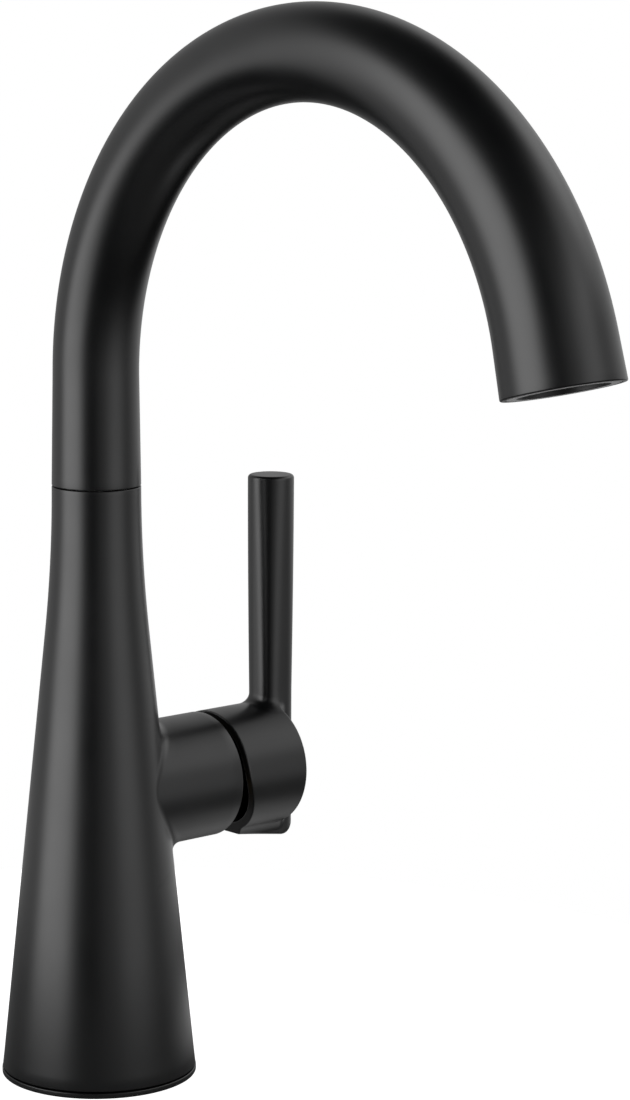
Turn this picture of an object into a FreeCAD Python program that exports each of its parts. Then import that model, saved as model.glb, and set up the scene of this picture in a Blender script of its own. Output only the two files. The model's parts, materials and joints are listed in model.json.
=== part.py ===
import FreeCAD, Part
import os
import re
import Sketcher

# Gooseneck bar faucet with a side handle. Millimetres, +Z up. The body's axis is the Z axis, z = 0 is the
# top of the deck, the spout points to +X and the handle's hub to +Y.

Vector = FreeCAD.Vector
document = FreeCAD.newDocument("bar_faucet")

# Driving dimensions, each with an alias of its own.
SIZES = {
    # foot and deck fixing
    "foot_radius": 30.38,
    "foot_height": 2.1,
    "ring_overhang": 0.2,
    "ring_gap": 0.4,
    "ring_bore": 18.0,
    "gasket_inner": 22.5,
    "gasket_outer": 27.0,
    "gasket_thickness": 0.9,
    "plate_thickness": 6.0,
    "screw_radius": 2.0,
    "screw_head_radius": 3.6,
    "screw_head_height": 2.3,
    "screw_length": 9.0,
    "lug_radius": 4.5,
    "lug_height": 12.0,
    "lug_sink": 0.5,
    "shank_radius": 16.0,
    "shank_bore": 13.4,
    "shank_length": 62.0,
    "shank_flange": 3.0,
    "thread_pitch": 1.5,
    "thread_depth": 0.85,
    "deck_thickness": 20.0,
    "washer_radius": 27.0,
    "rubber_thickness": 2.5,
    "washer_thickness": 2.0,
    "nut_thickness": 10.0,
    "nut_flat": 23.0,
    # body shell
    "shell_wall": 2.6,
    "shell_taper": 0.1023,
    "seam_height": 186.7,
    "seam_radius": 13.78,
    "seam_gap": 0.3,
    "neck_length": 18.6,
    # side hub
    "hub_height": 89.3,
    "hub_radius": 19.95,
    "hub_reach": 42.9,
    "hub_wall": 2.56,
    "hub_step": 1.0,
    "hub_step_place": 30.0,
    "hub_blend": 3.6,
    # valve body, bored along the hub
    "valve_flange": 6.0,
    "core_radius": 12.5,
    "socket_radius": 12.6,
    "socket_floor": 14.5,
    "inlet_spacing": 5.6,
    "inlet_radius": 4.46,
    "inlet_depth": 10.0,
    "inlet_forward": 2.0,
    "inlet_drop": 11.0,
    "riser_rise": 14.0,
    "riser_pocket": 4.6,
    "riser_radius": 2.0,
    "riser_forward": 9.4,
    "riser_slot_width": 5.0,
    "riser_slot_height": 2.7,
    "lock_ring_length": 3.5,
    "lock_ring_bore": 14.2,
    # mixing cartridge
    "cartridge_radius": 12.5,
    "cartridge_wall": 1.1,
    "base_start": 14.8,
    "base_thickness": 4.2,
    "port_radius": 2.2,
    "port_side": 5.0,
    "port_rise": 4.0,
    "port_drop": 3.8,
    "seal_width": 0.8,
    "seal_sink": 1.1,
    "fixed_disc_thickness": 3.5,
    "moving_disc_radius": 9.3,
    "moving_disc_thickness": 3.45,
    "disc_rest_drop": 0.9,
    "chamber_drop": 1.1,
    "chamber_radius": 4.05,
    "chamber_depth": 1.6,
    "carrier_thickness": 4.0,
    "ball_radius": 2.6,
    "ball_place": 28.7,
    "sleeve_flange": 1.0,
    "sleeve_radius": 8.8,
    "sleeve_end": 39.0,
    "housing_lid": 1.9,
    "pivot_place": 36.5,
    "pin_radius": 1.25,
    "stem_half": 4.0,
    "stem_neck": 1.9,
    "stem_square_start": 33.0,
    "stem_end": 59.5,
    "slot_down": 6.0,
    "slot_up": 5.3,
    "bonnet_radius": 13.5,
    "bonnet_seat": 2.5,
    "bonnet_stand": 3.3,
    # handle
    "cap_start": 45.6,
    "cap_end": 70.0,
    "cap_wall": 2.66,
    "cap_floor": 62.2,
    "relief_start": 1.6,
    "relief_angle": 18.0,
    "boss_radius": 8.5,
    "boss_start": 48.0,
    "socket_depth": 12.0,
    "bar_place": 71.5,
    "bar_half": 6.15,
    "bar_corner": 4.4,
    "bar_square_top": 24.0,
    "bar_top_height": 183.55,
    "bar_top_radius": 7.45,
    "bar_top_round": 1.2,
    "bar_joint": 2.7,
    "keel_start": 46.2,
    "keel_slope": 9.6,
    "set_screw_place": 56.0,
    "set_screw_radius": 2.5,
    "set_screw_length": 10.0,
    "screw_web_radius": 5.0,
    "plug_length": 2.6,
    # spout
    "spout_wall": 1.5,
    "tube_radius": 13.2,
    "upright_length": 34.8,
    "bend_radius": 99.0,
    "bend_angle": 165.4,
    "spout_tail": 13.0,
    "outlet_radius": 17.2,
    "widening_power": 2.6,
    # swivel
    "post_bore": 5.5,
    "post_tail_radius": 7.5,
    "glide_thickness": 2.0,
    "post_flange": 1.7,
    "post_flange_radius": 11.3,
    "post_radius": 8.5,
    "post_head": 27.8,
    "post_seal_height": 1.5,
    "o_ring_section": 0.9,
    "o_ring_groove": 2.4,
    "lower_o_ring": 7.5,
    "upper_o_ring": 16.5,
    "clip_place": 23.0,
    "clip_thickness": 1.0,
    "clip_depth": 1.0,
    "clip_reach": 0.7,
    "bushing_length": 26.3,
    "bushing_gap": 0.2,
    # outlet
    "insert_flange": 2.0,
    "insert_radius": 14.6,
    "insert_depth": 15.5,
    "insert_lip": 1.5,
    "insert_gap": 0.2,
    "mouth_radius": 12.5,
    "mouth_depth": 2.5,
    "aerator_radius": 11.9,
    "aerator_wall": 2.3,
    "aerator_length": 9.5,
    "aerator_washer_thickness": 1.5,
    "grid_thickness": 1.8,
    "screen_thickness": 0.4,
    "screen_spacing": 1.3,
    "restrictor_thickness": 2.2,
    # clearances
    "running": 0.05,
    "loose": 0.3,
}

sheet = document.addObject("Spreadsheet::Sheet", "Sizes")
for row, (alias, size) in enumerate(SIZES.items(), start=1):
    sheet.set(f"A{row}", alias)
    sheet.set(f"B{row}", str(size))
    sheet.setAlias(f"B{row}", alias)
document.recompute()

ALIAS = re.compile(r"\b(" + "|".join(sorted(SIZES, key=len, reverse=True)) + r")\b")


def with_sheet(text):
    """The expression with each size's name pointing to its cell."""
    return ALIAS.sub(r"Sizes.\1", str(text))


def number(text):
    """What an expression is worth now."""
    found = sheet.evalExpression(with_sheet(text))
    return float(getattr(found, "Value", found))


def bind(thing, **bindings):
    """Binds properties to expressions; two underscores stand for the dot in a property's path."""
    for path, text in bindings.items():
        thing.setExpression(path.replace("__", "."), with_sheet(text))


# ---- places worked out from the driving dimensions ----
plate_top = "(foot_height + plate_thickness)"
shell_inner_foot = "(foot_radius - shell_wall)"
shell_inner_plate = "(foot_radius - shell_wall - shell_taper * plate_thickness)"
lug_place = f"({shell_inner_plate} - lug_radius + lug_sink)"
shank_flange_radius = f"({lug_place} - lug_radius - loose)"
shell_top = "(seam_height - seam_gap / 2)"
neck_floor = "(seam_height - neck_length)"
spout_bottom = "(seam_height + seam_gap / 2)"
bend_start = "(seam_height + upright_length)"
# the cone's line meets the neck's upright at the knee, and one arc tangent to both blends them
knee_height = "(foot_height + (foot_radius - seam_radius) / shell_taper)"
knee_leg = f"(seam_height - {knee_height})"
blend_radius = f"({knee_leg} / tan(atan(shell_taper) / 2))"
blend_start_radius = f"(seam_radius + {knee_leg} * sin(atan(shell_taper)))"
blend_start_height = f"({knee_height} - {knee_leg} * cos(atan(shell_taper)))"
hub_bore = "(hub_radius - hub_wall)"
hub_small_bore = f"({hub_bore} - hub_step)"
valve_radius = f"({hub_small_bore} - 2 * loose / 3)"
valve_flange_radius = f"({hub_bore} - running * 2)"
valve_end = "(hub_step_place + valve_flange)"
fixed_start = "(base_start + base_thickness)"
moving_start = f"({fixed_start} + fixed_disc_thickness + running)"
carrier_start = f"({moving_start} + moving_disc_thickness)"
carrier_end = f"({carrier_start} + carrier_thickness)"
sleeve_start = f"({carrier_end} + loose)"
lid_start = f"({sleeve_start} + sleeve_flange + loose)"
housing_end = f"({lid_start} + housing_lid)"
housing_bore = "(cartridge_radius - cartridge_wall)"
cap_bore = "(hub_radius - cap_wall)"
flange_start = f"({spout_bottom} - running - glide_thickness - post_flange)"
glide_start = f"({flange_start} + post_flange)"
seat_radius = "(post_flange_radius + loose)"
neck_bore = "(post_tail_radius + loose)"
riser_face = "(hub_height + riser_rise)"
post_tail_end = f"({riser_face} - riser_pocket + post_seal_height)"
bushing_bore = "(post_radius + running)"
upright_taper = f"((seam_radius - tube_radius) / ({bend_start} - {spout_bottom}))"
bushing_foot_radius = "(seam_radius - spout_wall - bushing_gap)"
bushing_head_radius = f"({bushing_foot_radius} - bushing_length * {upright_taper})"
bend_end_x = "(bend_radius * (1 - cos(bend_angle * 1 deg)))"
bend_end_z = f"({bend_start} + bend_radius * sin(bend_angle * 1 deg))"
outlet_x = f"({bend_end_x} + spout_tail * sin(bend_angle * 1 deg))"
outlet_z = f"({bend_end_z} + spout_tail * cos(bend_angle * 1 deg))"
washer_bore = "(shank_radius + loose)"
thread_turns = "floor(shank_length / thread_pitch - 1)"
keel_end = "(bar_place + bar_half)"


def keel_drop(place):
    """Depth of the keel's sloped underside below the hub's axis, at a place along the hub."""
    return f"(hub_radius + ({place} - keel_start) * tan(keel_slope * 1 deg))"


# ---- makers of sketches and solids ----
def plane_of(body, role):
    """One of a body's own origin planes."""
    return next(plane for plane in body.Origin.OriginFeatures if plane.Role == role)


def sketch_on(body, name, role="XZ_Plane"):
    """A sketch flat on one of the body's origin planes."""
    sketch = body.newObject("Sketcher::SketchObject", name)
    sketch.AttachmentSupport = [(plane_of(body, role), "")]
    sketch.MapMode = "FlatFace"
    return sketch


def outline(sketch, corners):
    """Closed outline through the corners. A corner is (x, y), or (x, y, radius) where an arc runs to the next
    corner: it bulges to the right of the way there, or to the left where the radius is negative."""
    places = [(number(corner[0]), number(corner[1])) for corner in corners]
    first = sketch.GeometryCount
    ends = []
    for index, corner in enumerate(corners):
        here = Vector(*places[index], 0)
        there = Vector(*places[(index + 1) % len(corners)], 0)
        if len(corner) == 2:
            sketch.addGeometry(Part.LineSegment(here, there), False)
            ends.append((1, 2))
            continue
        radius = abs(number(corner[2]))
        side = 1 if number(corner[2]) > 0 else -1
        chord = there - here
        across = Vector(chord.y, -chord.x, 0).normalize() * side
        sagitta = radius - max(radius * radius - chord.Length ** 2 / 4, 0) ** 0.5
        middle = (here + there) / 2 + across * sagitta
        sketch.addGeometry(Part.Arc(here, middle, there), False)
        ends.append((1, 2) if side > 0 else (2, 1))
    for index in range(len(corners)):
        after = (index + 1) % len(corners)
        joint = (first + index, ends[index][1], first + after, ends[after][0])
        sketch.addConstraint(Sketcher.Constraint("Coincident", *joint))
    for index, corner in enumerate(corners):
        point = (first + index, ends[index][0])
        for kind, at, text in (("DistanceX", 0, corner[0]), ("DistanceY", 1, corner[1])):
            rule = sketch.addConstraint(Sketcher.Constraint(kind, *point, places[index][at]))
            sketch.setExpression(f"Constraints[{rule}]", with_sheet(text))
        if len(corner) == 3:
            radius = abs(number(corner[2]))
            rule = sketch.addConstraint(Sketcher.Constraint("Radius", first + index, radius))
            sketch.setExpression(f"Constraints[{rule}]", with_sheet(f"abs({corner[2]})"))


def circle(sketch, x, y, radius):
    """A circle, with its centre and radius bound."""
    centre = Vector(number(x), number(y), 0)
    round_edge = Part.Circle(centre, Vector(0, 0, 1), number(radius))
    index = sketch.addGeometry(round_edge, False)
    rules = (("DistanceX", (index, 3), x), ("DistanceY", (index, 3), y), ("Radius", (index,), radius))
    for kind, point, text in rules:
        rule = sketch.addConstraint(Sketcher.Constraint(kind, *point, number(text)))
        sketch.setExpression(f"Constraints[{rule}]", with_sheet(text))


def rounded_square(sketch, half, corner):
    """A square with rounded corners about the sketch's origin."""
    flat = f"({half} - {corner})"
    outline(
        sketch,
        [
            (half, f"-{flat}"), (half, flat, corner), (flat, half), (f"-{flat}", half, corner),
            (f"-{half}", flat), (f"-{half}", f"-{flat}", corner), (f"-{flat}", f"-{half}"),
            (flat, f"-{half}", corner),
        ],
    )


def new_body(label):
    body = document.addObject("PartDesign::Body", label)
    body.Label = label
    return body


def on_body_axis(thing):
    """Leaves a piece in the part's own frame."""
    return thing


def on_hub_axis(thing):
    """Lays a piece's Z axis along the hub, from the body's axis outwards."""
    thing.Placement = FreeCAD.Placement(Vector(0, 0, 1), FreeCAD.Rotation(Vector(1, 0, 0), -90))
    bind(thing, Placement__Base__z="hub_height")
    return thing


def on_outlet_axis(thing):
    """Lays a piece's Z axis along the outlet, from the end face in the way that the water leaves."""
    thing.Placement = FreeCAD.Placement(Vector(1, 0, 1), FreeCAD.Rotation(Vector(0, 1, 0), 90))
    bind(thing, Placement__Base__x=outlet_x, Placement__Base__z=outlet_z)
    bind(thing, Placement__Rotation__Angle="bend_angle * 1 deg")
    return thing


def turned(label, corners, place=on_body_axis, angle=360):
    """A turned piece: the outline of (radius, height) corners spun about the piece's Z axis."""
    body = new_body(label)
    sketch = sketch_on(body, label + "_profile")
    outline(sketch, corners)
    spin = body.newObject("PartDesign::Revolution", label + "_turning")
    spin.Profile = sketch
    spin.ReferenceAxis = (sketch, ["V_Axis"])
    spin.Angle = angle
    body.Tip = spin
    return place(body)


def ring(label, inner, outer, low, high, place=on_body_axis):
    """A plain ring or washer."""
    return turned(label, [(inner, low), (outer, low), (outer, high), (inner, high)], place)


def rod(label, radius, length, x="0", y="0", z="0", way="up"):
    """A round rod or drill from a point, upwards, along +Y or along +X."""
    turn = {"up": (Vector(0, 0, 1), 0), "out": (Vector(1, 0, 0), -90), "across": (Vector(0, 1, 0), 90)}[way]
    cylinder = document.addObject("Part::Cylinder", label)
    cylinder.Label = label
    cylinder.Placement = FreeCAD.Placement(Vector(1, 1, 1), FreeCAD.Rotation(*turn))
    bind(cylinder, Radius=radius, Height=length)
    bind(cylinder, Placement__Base__x=x, Placement__Base__y=y, Placement__Base__z=z)
    return cylinder


def block(label, low, high):
    """A box from its low corner to its high corner, each three expressions."""
    box = document.addObject("Part::Box", label)
    box.Label = label
    spans = [f"(({top}) - ({bottom}))" for bottom, top in zip(low, high)]
    bind(box, Length=spans[0], Width=spans[1], Height=spans[2])
    bind(box, Placement__Base__x=low[0], Placement__Base__y=low[1], Placement__Base__z=low[2])
    return box


def prism(label, corners, low, high):
    """The outline of (y, z) corners drawn out along X, from low to high."""
    body = new_body(label)
    sketch = sketch_on(body, label + "_profile", "YZ_Plane")
    sketch.AttachmentOffset = FreeCAD.Placement(Vector(0, 0, 1), FreeCAD.Rotation())
    bind(sketch, AttachmentOffset__Base__z=low)
    outline(sketch, corners)
    pad = body.newObject("PartDesign::Pad", label + "_pad")
    pad.Profile = sketch
    bind(pad, Length=f"({high}) - ({low})")
    body.Tip = pad
    return body


def fused(label, pieces):
    fusion = document.addObject("Part::MultiFuse", label)
    fusion.Label = label
    fusion.Shapes = pieces
    return fusion


def cut(label, blank, tools):
    """The blank with every tool's shape taken away."""
    difference = document.addObject("Part::Cut", label)
    difference.Label = label
    difference.Base = blank
    difference.Tool = tools[0] if len(tools) == 1 else fused(label + "_tools", tools)
    return difference


def group(label, pieces):
    """Identical small pieces as one node of separate solids."""
    compound = document.addObject("Part::Compound", label)
    compound.Label = label
    compound.Links = pieces
    return compound


def around(index, count):
    """Sine and cosine expressions of one place in an even circle."""
    turn = f"({index} * 360 / {count} * 1 deg)"
    return f"sin{turn}", f"cos{turn}"


# ---- foot and deck fixing ----
def foot_pieces():
    """Trim ring, gasket, plate and the screws that hold the plate to the shell's three lugs."""
    ring_radius = "(foot_radius + ring_overhang)"
    rim_height = "(foot_height - ring_gap)"
    step_radius = f"({shell_inner_foot} + shell_wall / 4)"
    base_ring = turned(
        "base_ring",
        [
            ("ring_bore", "0"), ("gasket_inner", "0"), ("gasket_inner", "gasket_thickness"),
            ("gasket_outer", "gasket_thickness"), ("gasket_outer", "0"), (ring_radius, "0"),
            (ring_radius, f"{rim_height} - ring_gap"), (f"{ring_radius} - ring_gap", rim_height),
            (step_radius, rim_height), (step_radius, "foot_height"), ("ring_bore", "foot_height"),
        ],
    )
    gasket = ring("deck_gasket", "gasket_inner", "gasket_outer", "0", "gasket_thickness")
    plate_blank = ring(
        "base_plate_blank", washer_bore, f"({shell_inner_plate} - loose)", "foot_height", plate_top
    )
    holes = []
    screws = []
    for index in range(3):
        sine, cosine = around(index, 3)
        spot = {"x": f"-{lug_place} * {cosine}", "y": f"{lug_place} * {sine}"}
        hole = rod(f"plate_hole_{index}", "screw_radius + loose", "plate_thickness", z="foot_height", **spot)
        sink = rod(
            f"plate_sink_{index}", "screw_head_radius + loose", "screw_head_height + loose",
            z="foot_height", **spot,
        )
        holes += [hole, sink]
        head = rod(
            f"screw_head_{index}", "screw_head_radius", "screw_head_height", z="foot_height + loose", **spot
        )
        thread = rod(
            f"screw_thread_{index}", "screw_radius", "screw_head_height + screw_length",
            z="foot_height + loose", **spot,
        )
        screws.append(fused(f"base_screw_{index}", [head, thread]))
    base_plate = cut("base_plate", plate_blank, holes)
    return [base_ring, gasket, base_plate, group("base_screws", screws)]


def shank_thread(shank):
    """Cuts the thread's form into the shank: V-grooves of 60 degrees round it, one pitch apart."""
    middle = "(thread_pitch - shank_length)"
    mouth = "((thread_depth + running) * tan(30 deg))"
    profile = sketch_on(shank, "thread_profile")
    outline(
        profile,
        [
            ("shank_radius - thread_depth", middle), ("shank_radius + running", f"{middle} - {mouth}"),
            ("shank_radius + running", f"{middle} + {mouth}"),
        ],
    )
    groove = shank.newObject("PartDesign::Groove", "thread_groove")
    groove.Profile = profile
    groove.ReferenceAxis = (profile, ["V_Axis"])
    groove.Angle = 360
    thread = shank.newObject("PartDesign::LinearPattern", "thread")
    thread.Originals = [groove]
    thread.Direction = (profile, ["V_Axis"])
    bind(thread, Length=f"({thread_turns} - 1) * thread_pitch", Occurrences=thread_turns)
    shank.Tip = thread


def deck_pieces():
    """Threaded shank through the deck, with the washers and nut that clamp it from below."""
    shank = turned(
        "mounting_shank",
        [
            ("shank_bore", "-shank_length"), ("shank_radius", "-shank_length"), ("shank_radius", plate_top),
            (shank_flange_radius, plate_top), (shank_flange_radius, f"{plate_top} + shank_flange"),
            ("shank_bore", f"{plate_top} + shank_flange"),
        ],
    )
    shank_thread(shank)
    rubber_low = "(-deck_thickness - rubber_thickness)"
    metal_low = f"({rubber_low} - washer_thickness)"
    rubber = ring("rubber_washer", washer_bore, "washer_radius", rubber_low, "-deck_thickness")
    metal = ring("metal_washer", washer_bore, "washer_radius", metal_low, rubber_low)
    nut = new_body("mounting_nut")
    sketch = sketch_on(nut, "nut_profile", "XY_Plane")
    sketch.AttachmentOffset = FreeCAD.Placement(Vector(0, 0, -1), FreeCAD.Rotation())
    bind(sketch, AttachmentOffset__Base__z=f"{metal_low} - nut_thickness")
    corner = "(nut_flat / cos(30 deg))"
    turns = [around(index, 6) for index in range(6)]
    outline(sketch, [(f"{corner} * {sine}", f"{corner} * {cosine}") for sine, cosine in reversed(turns)])
    circle(sketch, "0", "0", "shank_radius + running")
    pad = nut.newObject("PartDesign::Pad", "nut_pad")
    pad.Profile = sketch
    bind(pad, Length="nut_thickness")
    nut.Tip = pad
    return [shank, rubber, metal, nut]


# ---- body shell ----
def hub_joint_edges(shape):
    """Names of the edges where the side hub leaves the cone."""
    reach = number("hub_reach")
    radius = number("hub_radius")
    height = number("hub_height")
    found = []
    for index, edge in enumerate(shape.Edges, start=1):
        spots = [edge.valueAt(edge.FirstParameter + (edge.LastParameter - edge.FirstParameter) * share)
                 for share in (0.1, 0.5, 0.9)]
        on_hub = all(abs((spot.x ** 2 + (spot.z - height) ** 2) ** 0.5 - radius) < 0.05 for spot in spots)
        straight = isinstance(edge.Curve, Part.Line)
        if on_hub and not straight and 0 < spots[1].y < reach - 1:
            found.append(f"Edge{index}")
    return found


def body_shell():
    """Cone that narrows to the neck, with the side hub, bored out and fitted with three lugs at the foot."""
    shell = new_body("body_shell")
    profile = sketch_on(shell, "shell_outside")
    outline(
        profile,
        [
            ("0", "foot_height"), ("foot_radius", "foot_height"),
            (blend_start_radius, blend_start_height, f"-{blend_radius}"), ("seam_radius", shell_top),
            ("0", shell_top),
        ],
    )
    cone = shell.newObject("PartDesign::Revolution", "shell_cone")
    cone.Profile = profile
    cone.ReferenceAxis = (profile, ["V_Axis"])
    cone.Angle = 360
    hub_circle = sketch_on(shell, "hub_outside")
    circle(hub_circle, "0", "hub_height", "hub_radius")
    hub = shell.newObject("PartDesign::Pad", "shell_hub")
    hub.Profile = hub_circle
    hub.Reversed = True
    bind(hub, Length="hub_reach")
    document.recompute()
    blend = shell.newObject("PartDesign::Fillet", "hub_joint")
    blend.Base = (hub, hub_joint_edges(hub.Shape))
    bind(blend, Radius="hub_blend")
    cavity_profile = sketch_on(shell, "shell_inside")
    cavity_top_radius = f"({shell_inner_foot} - shell_taper * ({neck_floor} - foot_height))"
    outline(
        cavity_profile,
        [
            ("0", "foot_height"), (shell_inner_foot, "foot_height"), (cavity_top_radius, neck_floor),
            (neck_bore, neck_floor), (neck_bore, flange_start), (seat_radius, flange_start),
            (seat_radius, shell_top), ("0", shell_top),
        ],
    )
    cavity = shell.newObject("PartDesign::Groove", "shell_cavity")
    cavity.Profile = cavity_profile
    cavity.ReferenceAxis = (cavity_profile, ["V_Axis"])
    cavity.Angle = 360
    bores = (("hub_small_bore", hub_small_bore, "0"), ("hub_bore", hub_bore, "hub_step_place"))
    for name, radius, start in bores:
        bore_circle = sketch_on(shell, name + "_circle")
        bore_circle.AttachmentOffset = FreeCAD.Placement(Vector(0, 0, -1), FreeCAD.Rotation())
        bind(bore_circle, AttachmentOffset__Base__z=f"-({start})")
        circle(bore_circle, "0", "hub_height", radius)
        bore = shell.newObject("PartDesign::Pocket", name)
        bore.Profile = bore_circle
        bind(bore, Length=f"hub_reach - ({start})")
        bore.Reversed = False
    lug_circle = sketch_on(shell, "lug_circle", "XY_Plane")
    lug_circle.AttachmentOffset = FreeCAD.Placement(Vector(0, 0, 1), FreeCAD.Rotation())
    bind(lug_circle, AttachmentOffset__Base__z=plate_top)
    circle(lug_circle, f"-{lug_place}", "0", "lug_radius")
    circle(lug_circle, f"-{lug_place}", "0", "screw_radius + running")
    lug = shell.newObject("PartDesign::Pad", "lug")
    lug.Profile = lug_circle
    bind(lug, Length="lug_height")
    lugs = shell.newObject("PartDesign::PolarPattern", "lugs")
    lugs.Originals = [lug]
    lugs.Axis = (lug_circle, ["N_Axis"])
    lugs.Angle = 360
    lugs.Occurrences = 3
    shell.Tip = lugs
    return shell


# ---- valve body, bored for the cartridge ----
def ports():
    """Places of the hot, cold and outlet ports in the cartridge, as (side, rise) about the hub's axis."""
    return {
        "hot": ("-port_side", "port_rise"),
        "cold": ("port_side", "port_rise"),
        "outlet": ("0", "-port_drop"),
    }


def valve_body():
    """Turned along the hub, trimmed behind to pass the hub's bore, drilled for two inlets and the riser."""
    blank = turned(
        "valve_blank",
        [
            ("0", "-core_radius"), (valve_radius, "-core_radius"), (valve_radius, "hub_step_place"),
            (valve_flange_radius, "hub_step_place"), (valve_flange_radius, valve_end),
            ("bonnet_radius + running", valve_end), ("bonnet_radius + running", f"{housing_end}"),
            ("socket_radius", f"{housing_end}"), ("socket_radius", "socket_floor"), ("0", "socket_floor"),
        ],
        on_hub_axis,
    )
    side = "(hub_radius + core_radius)"
    low = f"(hub_height - {side})"
    behind = block(
        "valve_behind", (f"-{side}", f"-{side}", low), (side, "0", f"(hub_height + {side})")
    )
    core = rod("valve_core", "core_radius", f"2 * {side}", z=low)
    corners = cut("valve_corners", behind, [core])
    flat_reach = "(socket_floor - inlet_radius)"
    under = block(
        "valve_under_flat", (f"-{side}", f"-{side}", low), (side, flat_reach, "hub_height - inlet_drop")
    )
    over = block(
        "valve_over_flat", (f"-{side}", f"-{side}", riser_face), (side, flat_reach, f"hub_height + {side}")
    )
    tools = [corners, under, over]
    inlet_top = "(inlet_depth - inlet_drop)"
    for name, way in (("hot", "-"), ("cold", "")):
        spot = {"x": f"{way}inlet_spacing", "y": "inlet_forward"}
        feed = f"(port_rise - {inlet_top})"
        tools.append(
            rod(f"{name}_inlet_port", "inlet_radius", "inlet_depth", z="hub_height - inlet_drop", **spot)
        )
        tools.append(rod(f"{name}_feed", "port_radius", feed, z=f"hub_height + {inlet_top}", **spot))
    starts = {"hot": "inlet_forward", "cold": "inlet_forward", "outlet": "riser_forward"}
    for name, (x, rise) in ports().items():
        tools.append(
            rod(
                f"{name}_channel", "port_radius", f"socket_floor - {starts[name]} + running", x=x,
                y=starts[name], z=f"hub_height + ({rise})", way="out",
            )
        )
    pocket_floor = f"({riser_face} - riser_pocket)"
    slot_side = "(riser_slot_width / 2)"
    tools.append(rod("riser_pocket_cut", "post_tail_radius + running", "riser_pocket", z=pocket_floor))
    tools.append(rod("riser_bore", "post_bore", "riser_slot_height", z=f"{pocket_floor} - riser_slot_height"))
    tools.append(
        block(
            "riser_slot", (f"-{slot_side}", "0", f"{pocket_floor} - riser_slot_height"),
            (slot_side, "riser_forward + riser_radius", pocket_floor),
        )
    )
    tools.append(
        rod(
            "riser", "riser_radius", f"{pocket_floor} - hub_height + port_drop", y="riser_forward",
            z="hub_height - port_drop",
        )
    )
    return cut("valve_body", blank, tools)


def valve_lock_ring():
    """Threaded ring that holds the valve body against the step in the hub."""
    return ring(
        "valve_lock_ring", "lock_ring_bore", valve_flange_radius, valve_end,
        f"{valve_end} + lock_ring_length", on_hub_axis,
    )


# ---- mixing cartridge ----
def port_tools(name, radius, start, length):
    """One drill per port, through a piece of the cartridge."""
    return [
        rod(f"{name}_{port}", radius, length, x=x, y=start, z=f"hub_height + ({rise})", way="out")
        for port, (x, rise) in ports().items()
    ]


def cartridge_fixed():
    """Seals, base, fixed ceramic disc, housing and the nut that clamps them in the socket."""
    seal_radius = "(port_radius + seal_width)"
    seal_length = "(base_start + seal_sink - socket_floor)"
    outsides = port_tools("seal_outside", seal_radius, "socket_floor", seal_length)
    insides = port_tools("seal_inside", "port_radius", "socket_floor", seal_length)
    seals = [cut(outside.Label.replace("outside", "ring"), outside, [inside])
             for outside, inside in zip(outsides, insides)]
    base_blank = rod(
        "cartridge_base_blank", "cartridge_radius", "base_thickness", y="base_start", z="hub_height",
        way="out",
    )
    base_tools = port_tools("base_port", "port_radius", "base_start", "base_thickness")
    base_tools += port_tools("seal_recess", f"{seal_radius} + running", "base_start", "seal_sink")
    disc_blank = rod(
        "fixed_disc_blank", f"{housing_bore} - loose", "fixed_disc_thickness", y=fixed_start, z="hub_height",
        way="out",
    )
    disc_tools = port_tools("disc_port", "port_radius", fixed_start, "fixed_disc_thickness")
    housing = turned(
        "cartridge_housing",
        [
            (housing_bore, fixed_start), ("cartridge_radius", fixed_start), ("cartridge_radius", housing_end),
            ("sleeve_radius + loose", housing_end), ("sleeve_radius + loose", lid_start),
            (housing_bore, lid_start),
        ],
        on_hub_axis,
    )
    bonnet = ring(
        "bonnet_nut", "sleeve_radius + loose * 2", "bonnet_radius", housing_end,
        f"{valve_end} + bonnet_stand", on_hub_axis,
    )
    return [
        group("cartridge_seals", seals),
        cut("cartridge_base", base_blank, base_tools),
        cut("fixed_disc", disc_blank, disc_tools),
        housing,
        bonnet,
    ]


def cartridge_moving():
    """Sleeve and pin that turn with the handle, and the ceramic disc and carrier that the stem slides."""
    sleeve_blank = turned(
        "sleeve_blank",
        [
            ("0", sleeve_start), (f"{housing_bore} - loose", sleeve_start),
            (f"{housing_bore} - loose", f"{sleeve_start} + sleeve_flange"),
            ("sleeve_radius", f"{sleeve_start} + sleeve_flange"), ("sleeve_radius", "sleeve_end"),
            ("0", "sleeve_end"),
        ],
        on_hub_axis,
    )
    slot_side = "(stem_half + loose / 2)"
    slot = block(
        "sleeve_slot", (f"-{slot_side}", sleeve_start, "hub_height - slot_down"),
        (slot_side, "sleeve_end", "hub_height + slot_up"),
    )
    pin_hole = rod(
        "sleeve_pin_hole", "pin_radius + running", "2 * sleeve_radius", x="-sleeve_radius", y="pivot_place",
        z="hub_height", way="across",
    )
    sleeve = cut("rotating_sleeve", sleeve_blank, [slot, pin_hole])
    pin_reach = "(sleeve_radius - loose)"
    pin = rod(
        "stem_pin", "pin_radius", f"2 * {pin_reach}", x=f"-{pin_reach}", y="pivot_place", z="hub_height",
        way="across",
    )
    disc_height = "(hub_height - disc_rest_drop)"
    disc_blank = rod(
        "moving_disc_blank", "moving_disc_radius", "moving_disc_thickness", y=moving_start, z=disc_height,
        way="out",
    )
    chamber_height = f"({disc_height} - chamber_drop)"
    chamber = rod(
        "mixing_chamber", "chamber_radius", "chamber_depth", y=moving_start, z=chamber_height, way="out"
    )
    carrier_blank = rod(
        "carrier_blank", "moving_disc_radius", "carrier_thickness", y=carrier_start, z=disc_height, way="out"
    )
    socket = rod(
        "ball_socket", "ball_radius + loose", "carrier_thickness", y=carrier_start, z="hub_height", way="out"
    )
    return [
        sleeve, pin, cut("moving_disc", disc_blank, [chamber]), cut("disc_carrier", carrier_blank, [socket])
    ]


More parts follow.
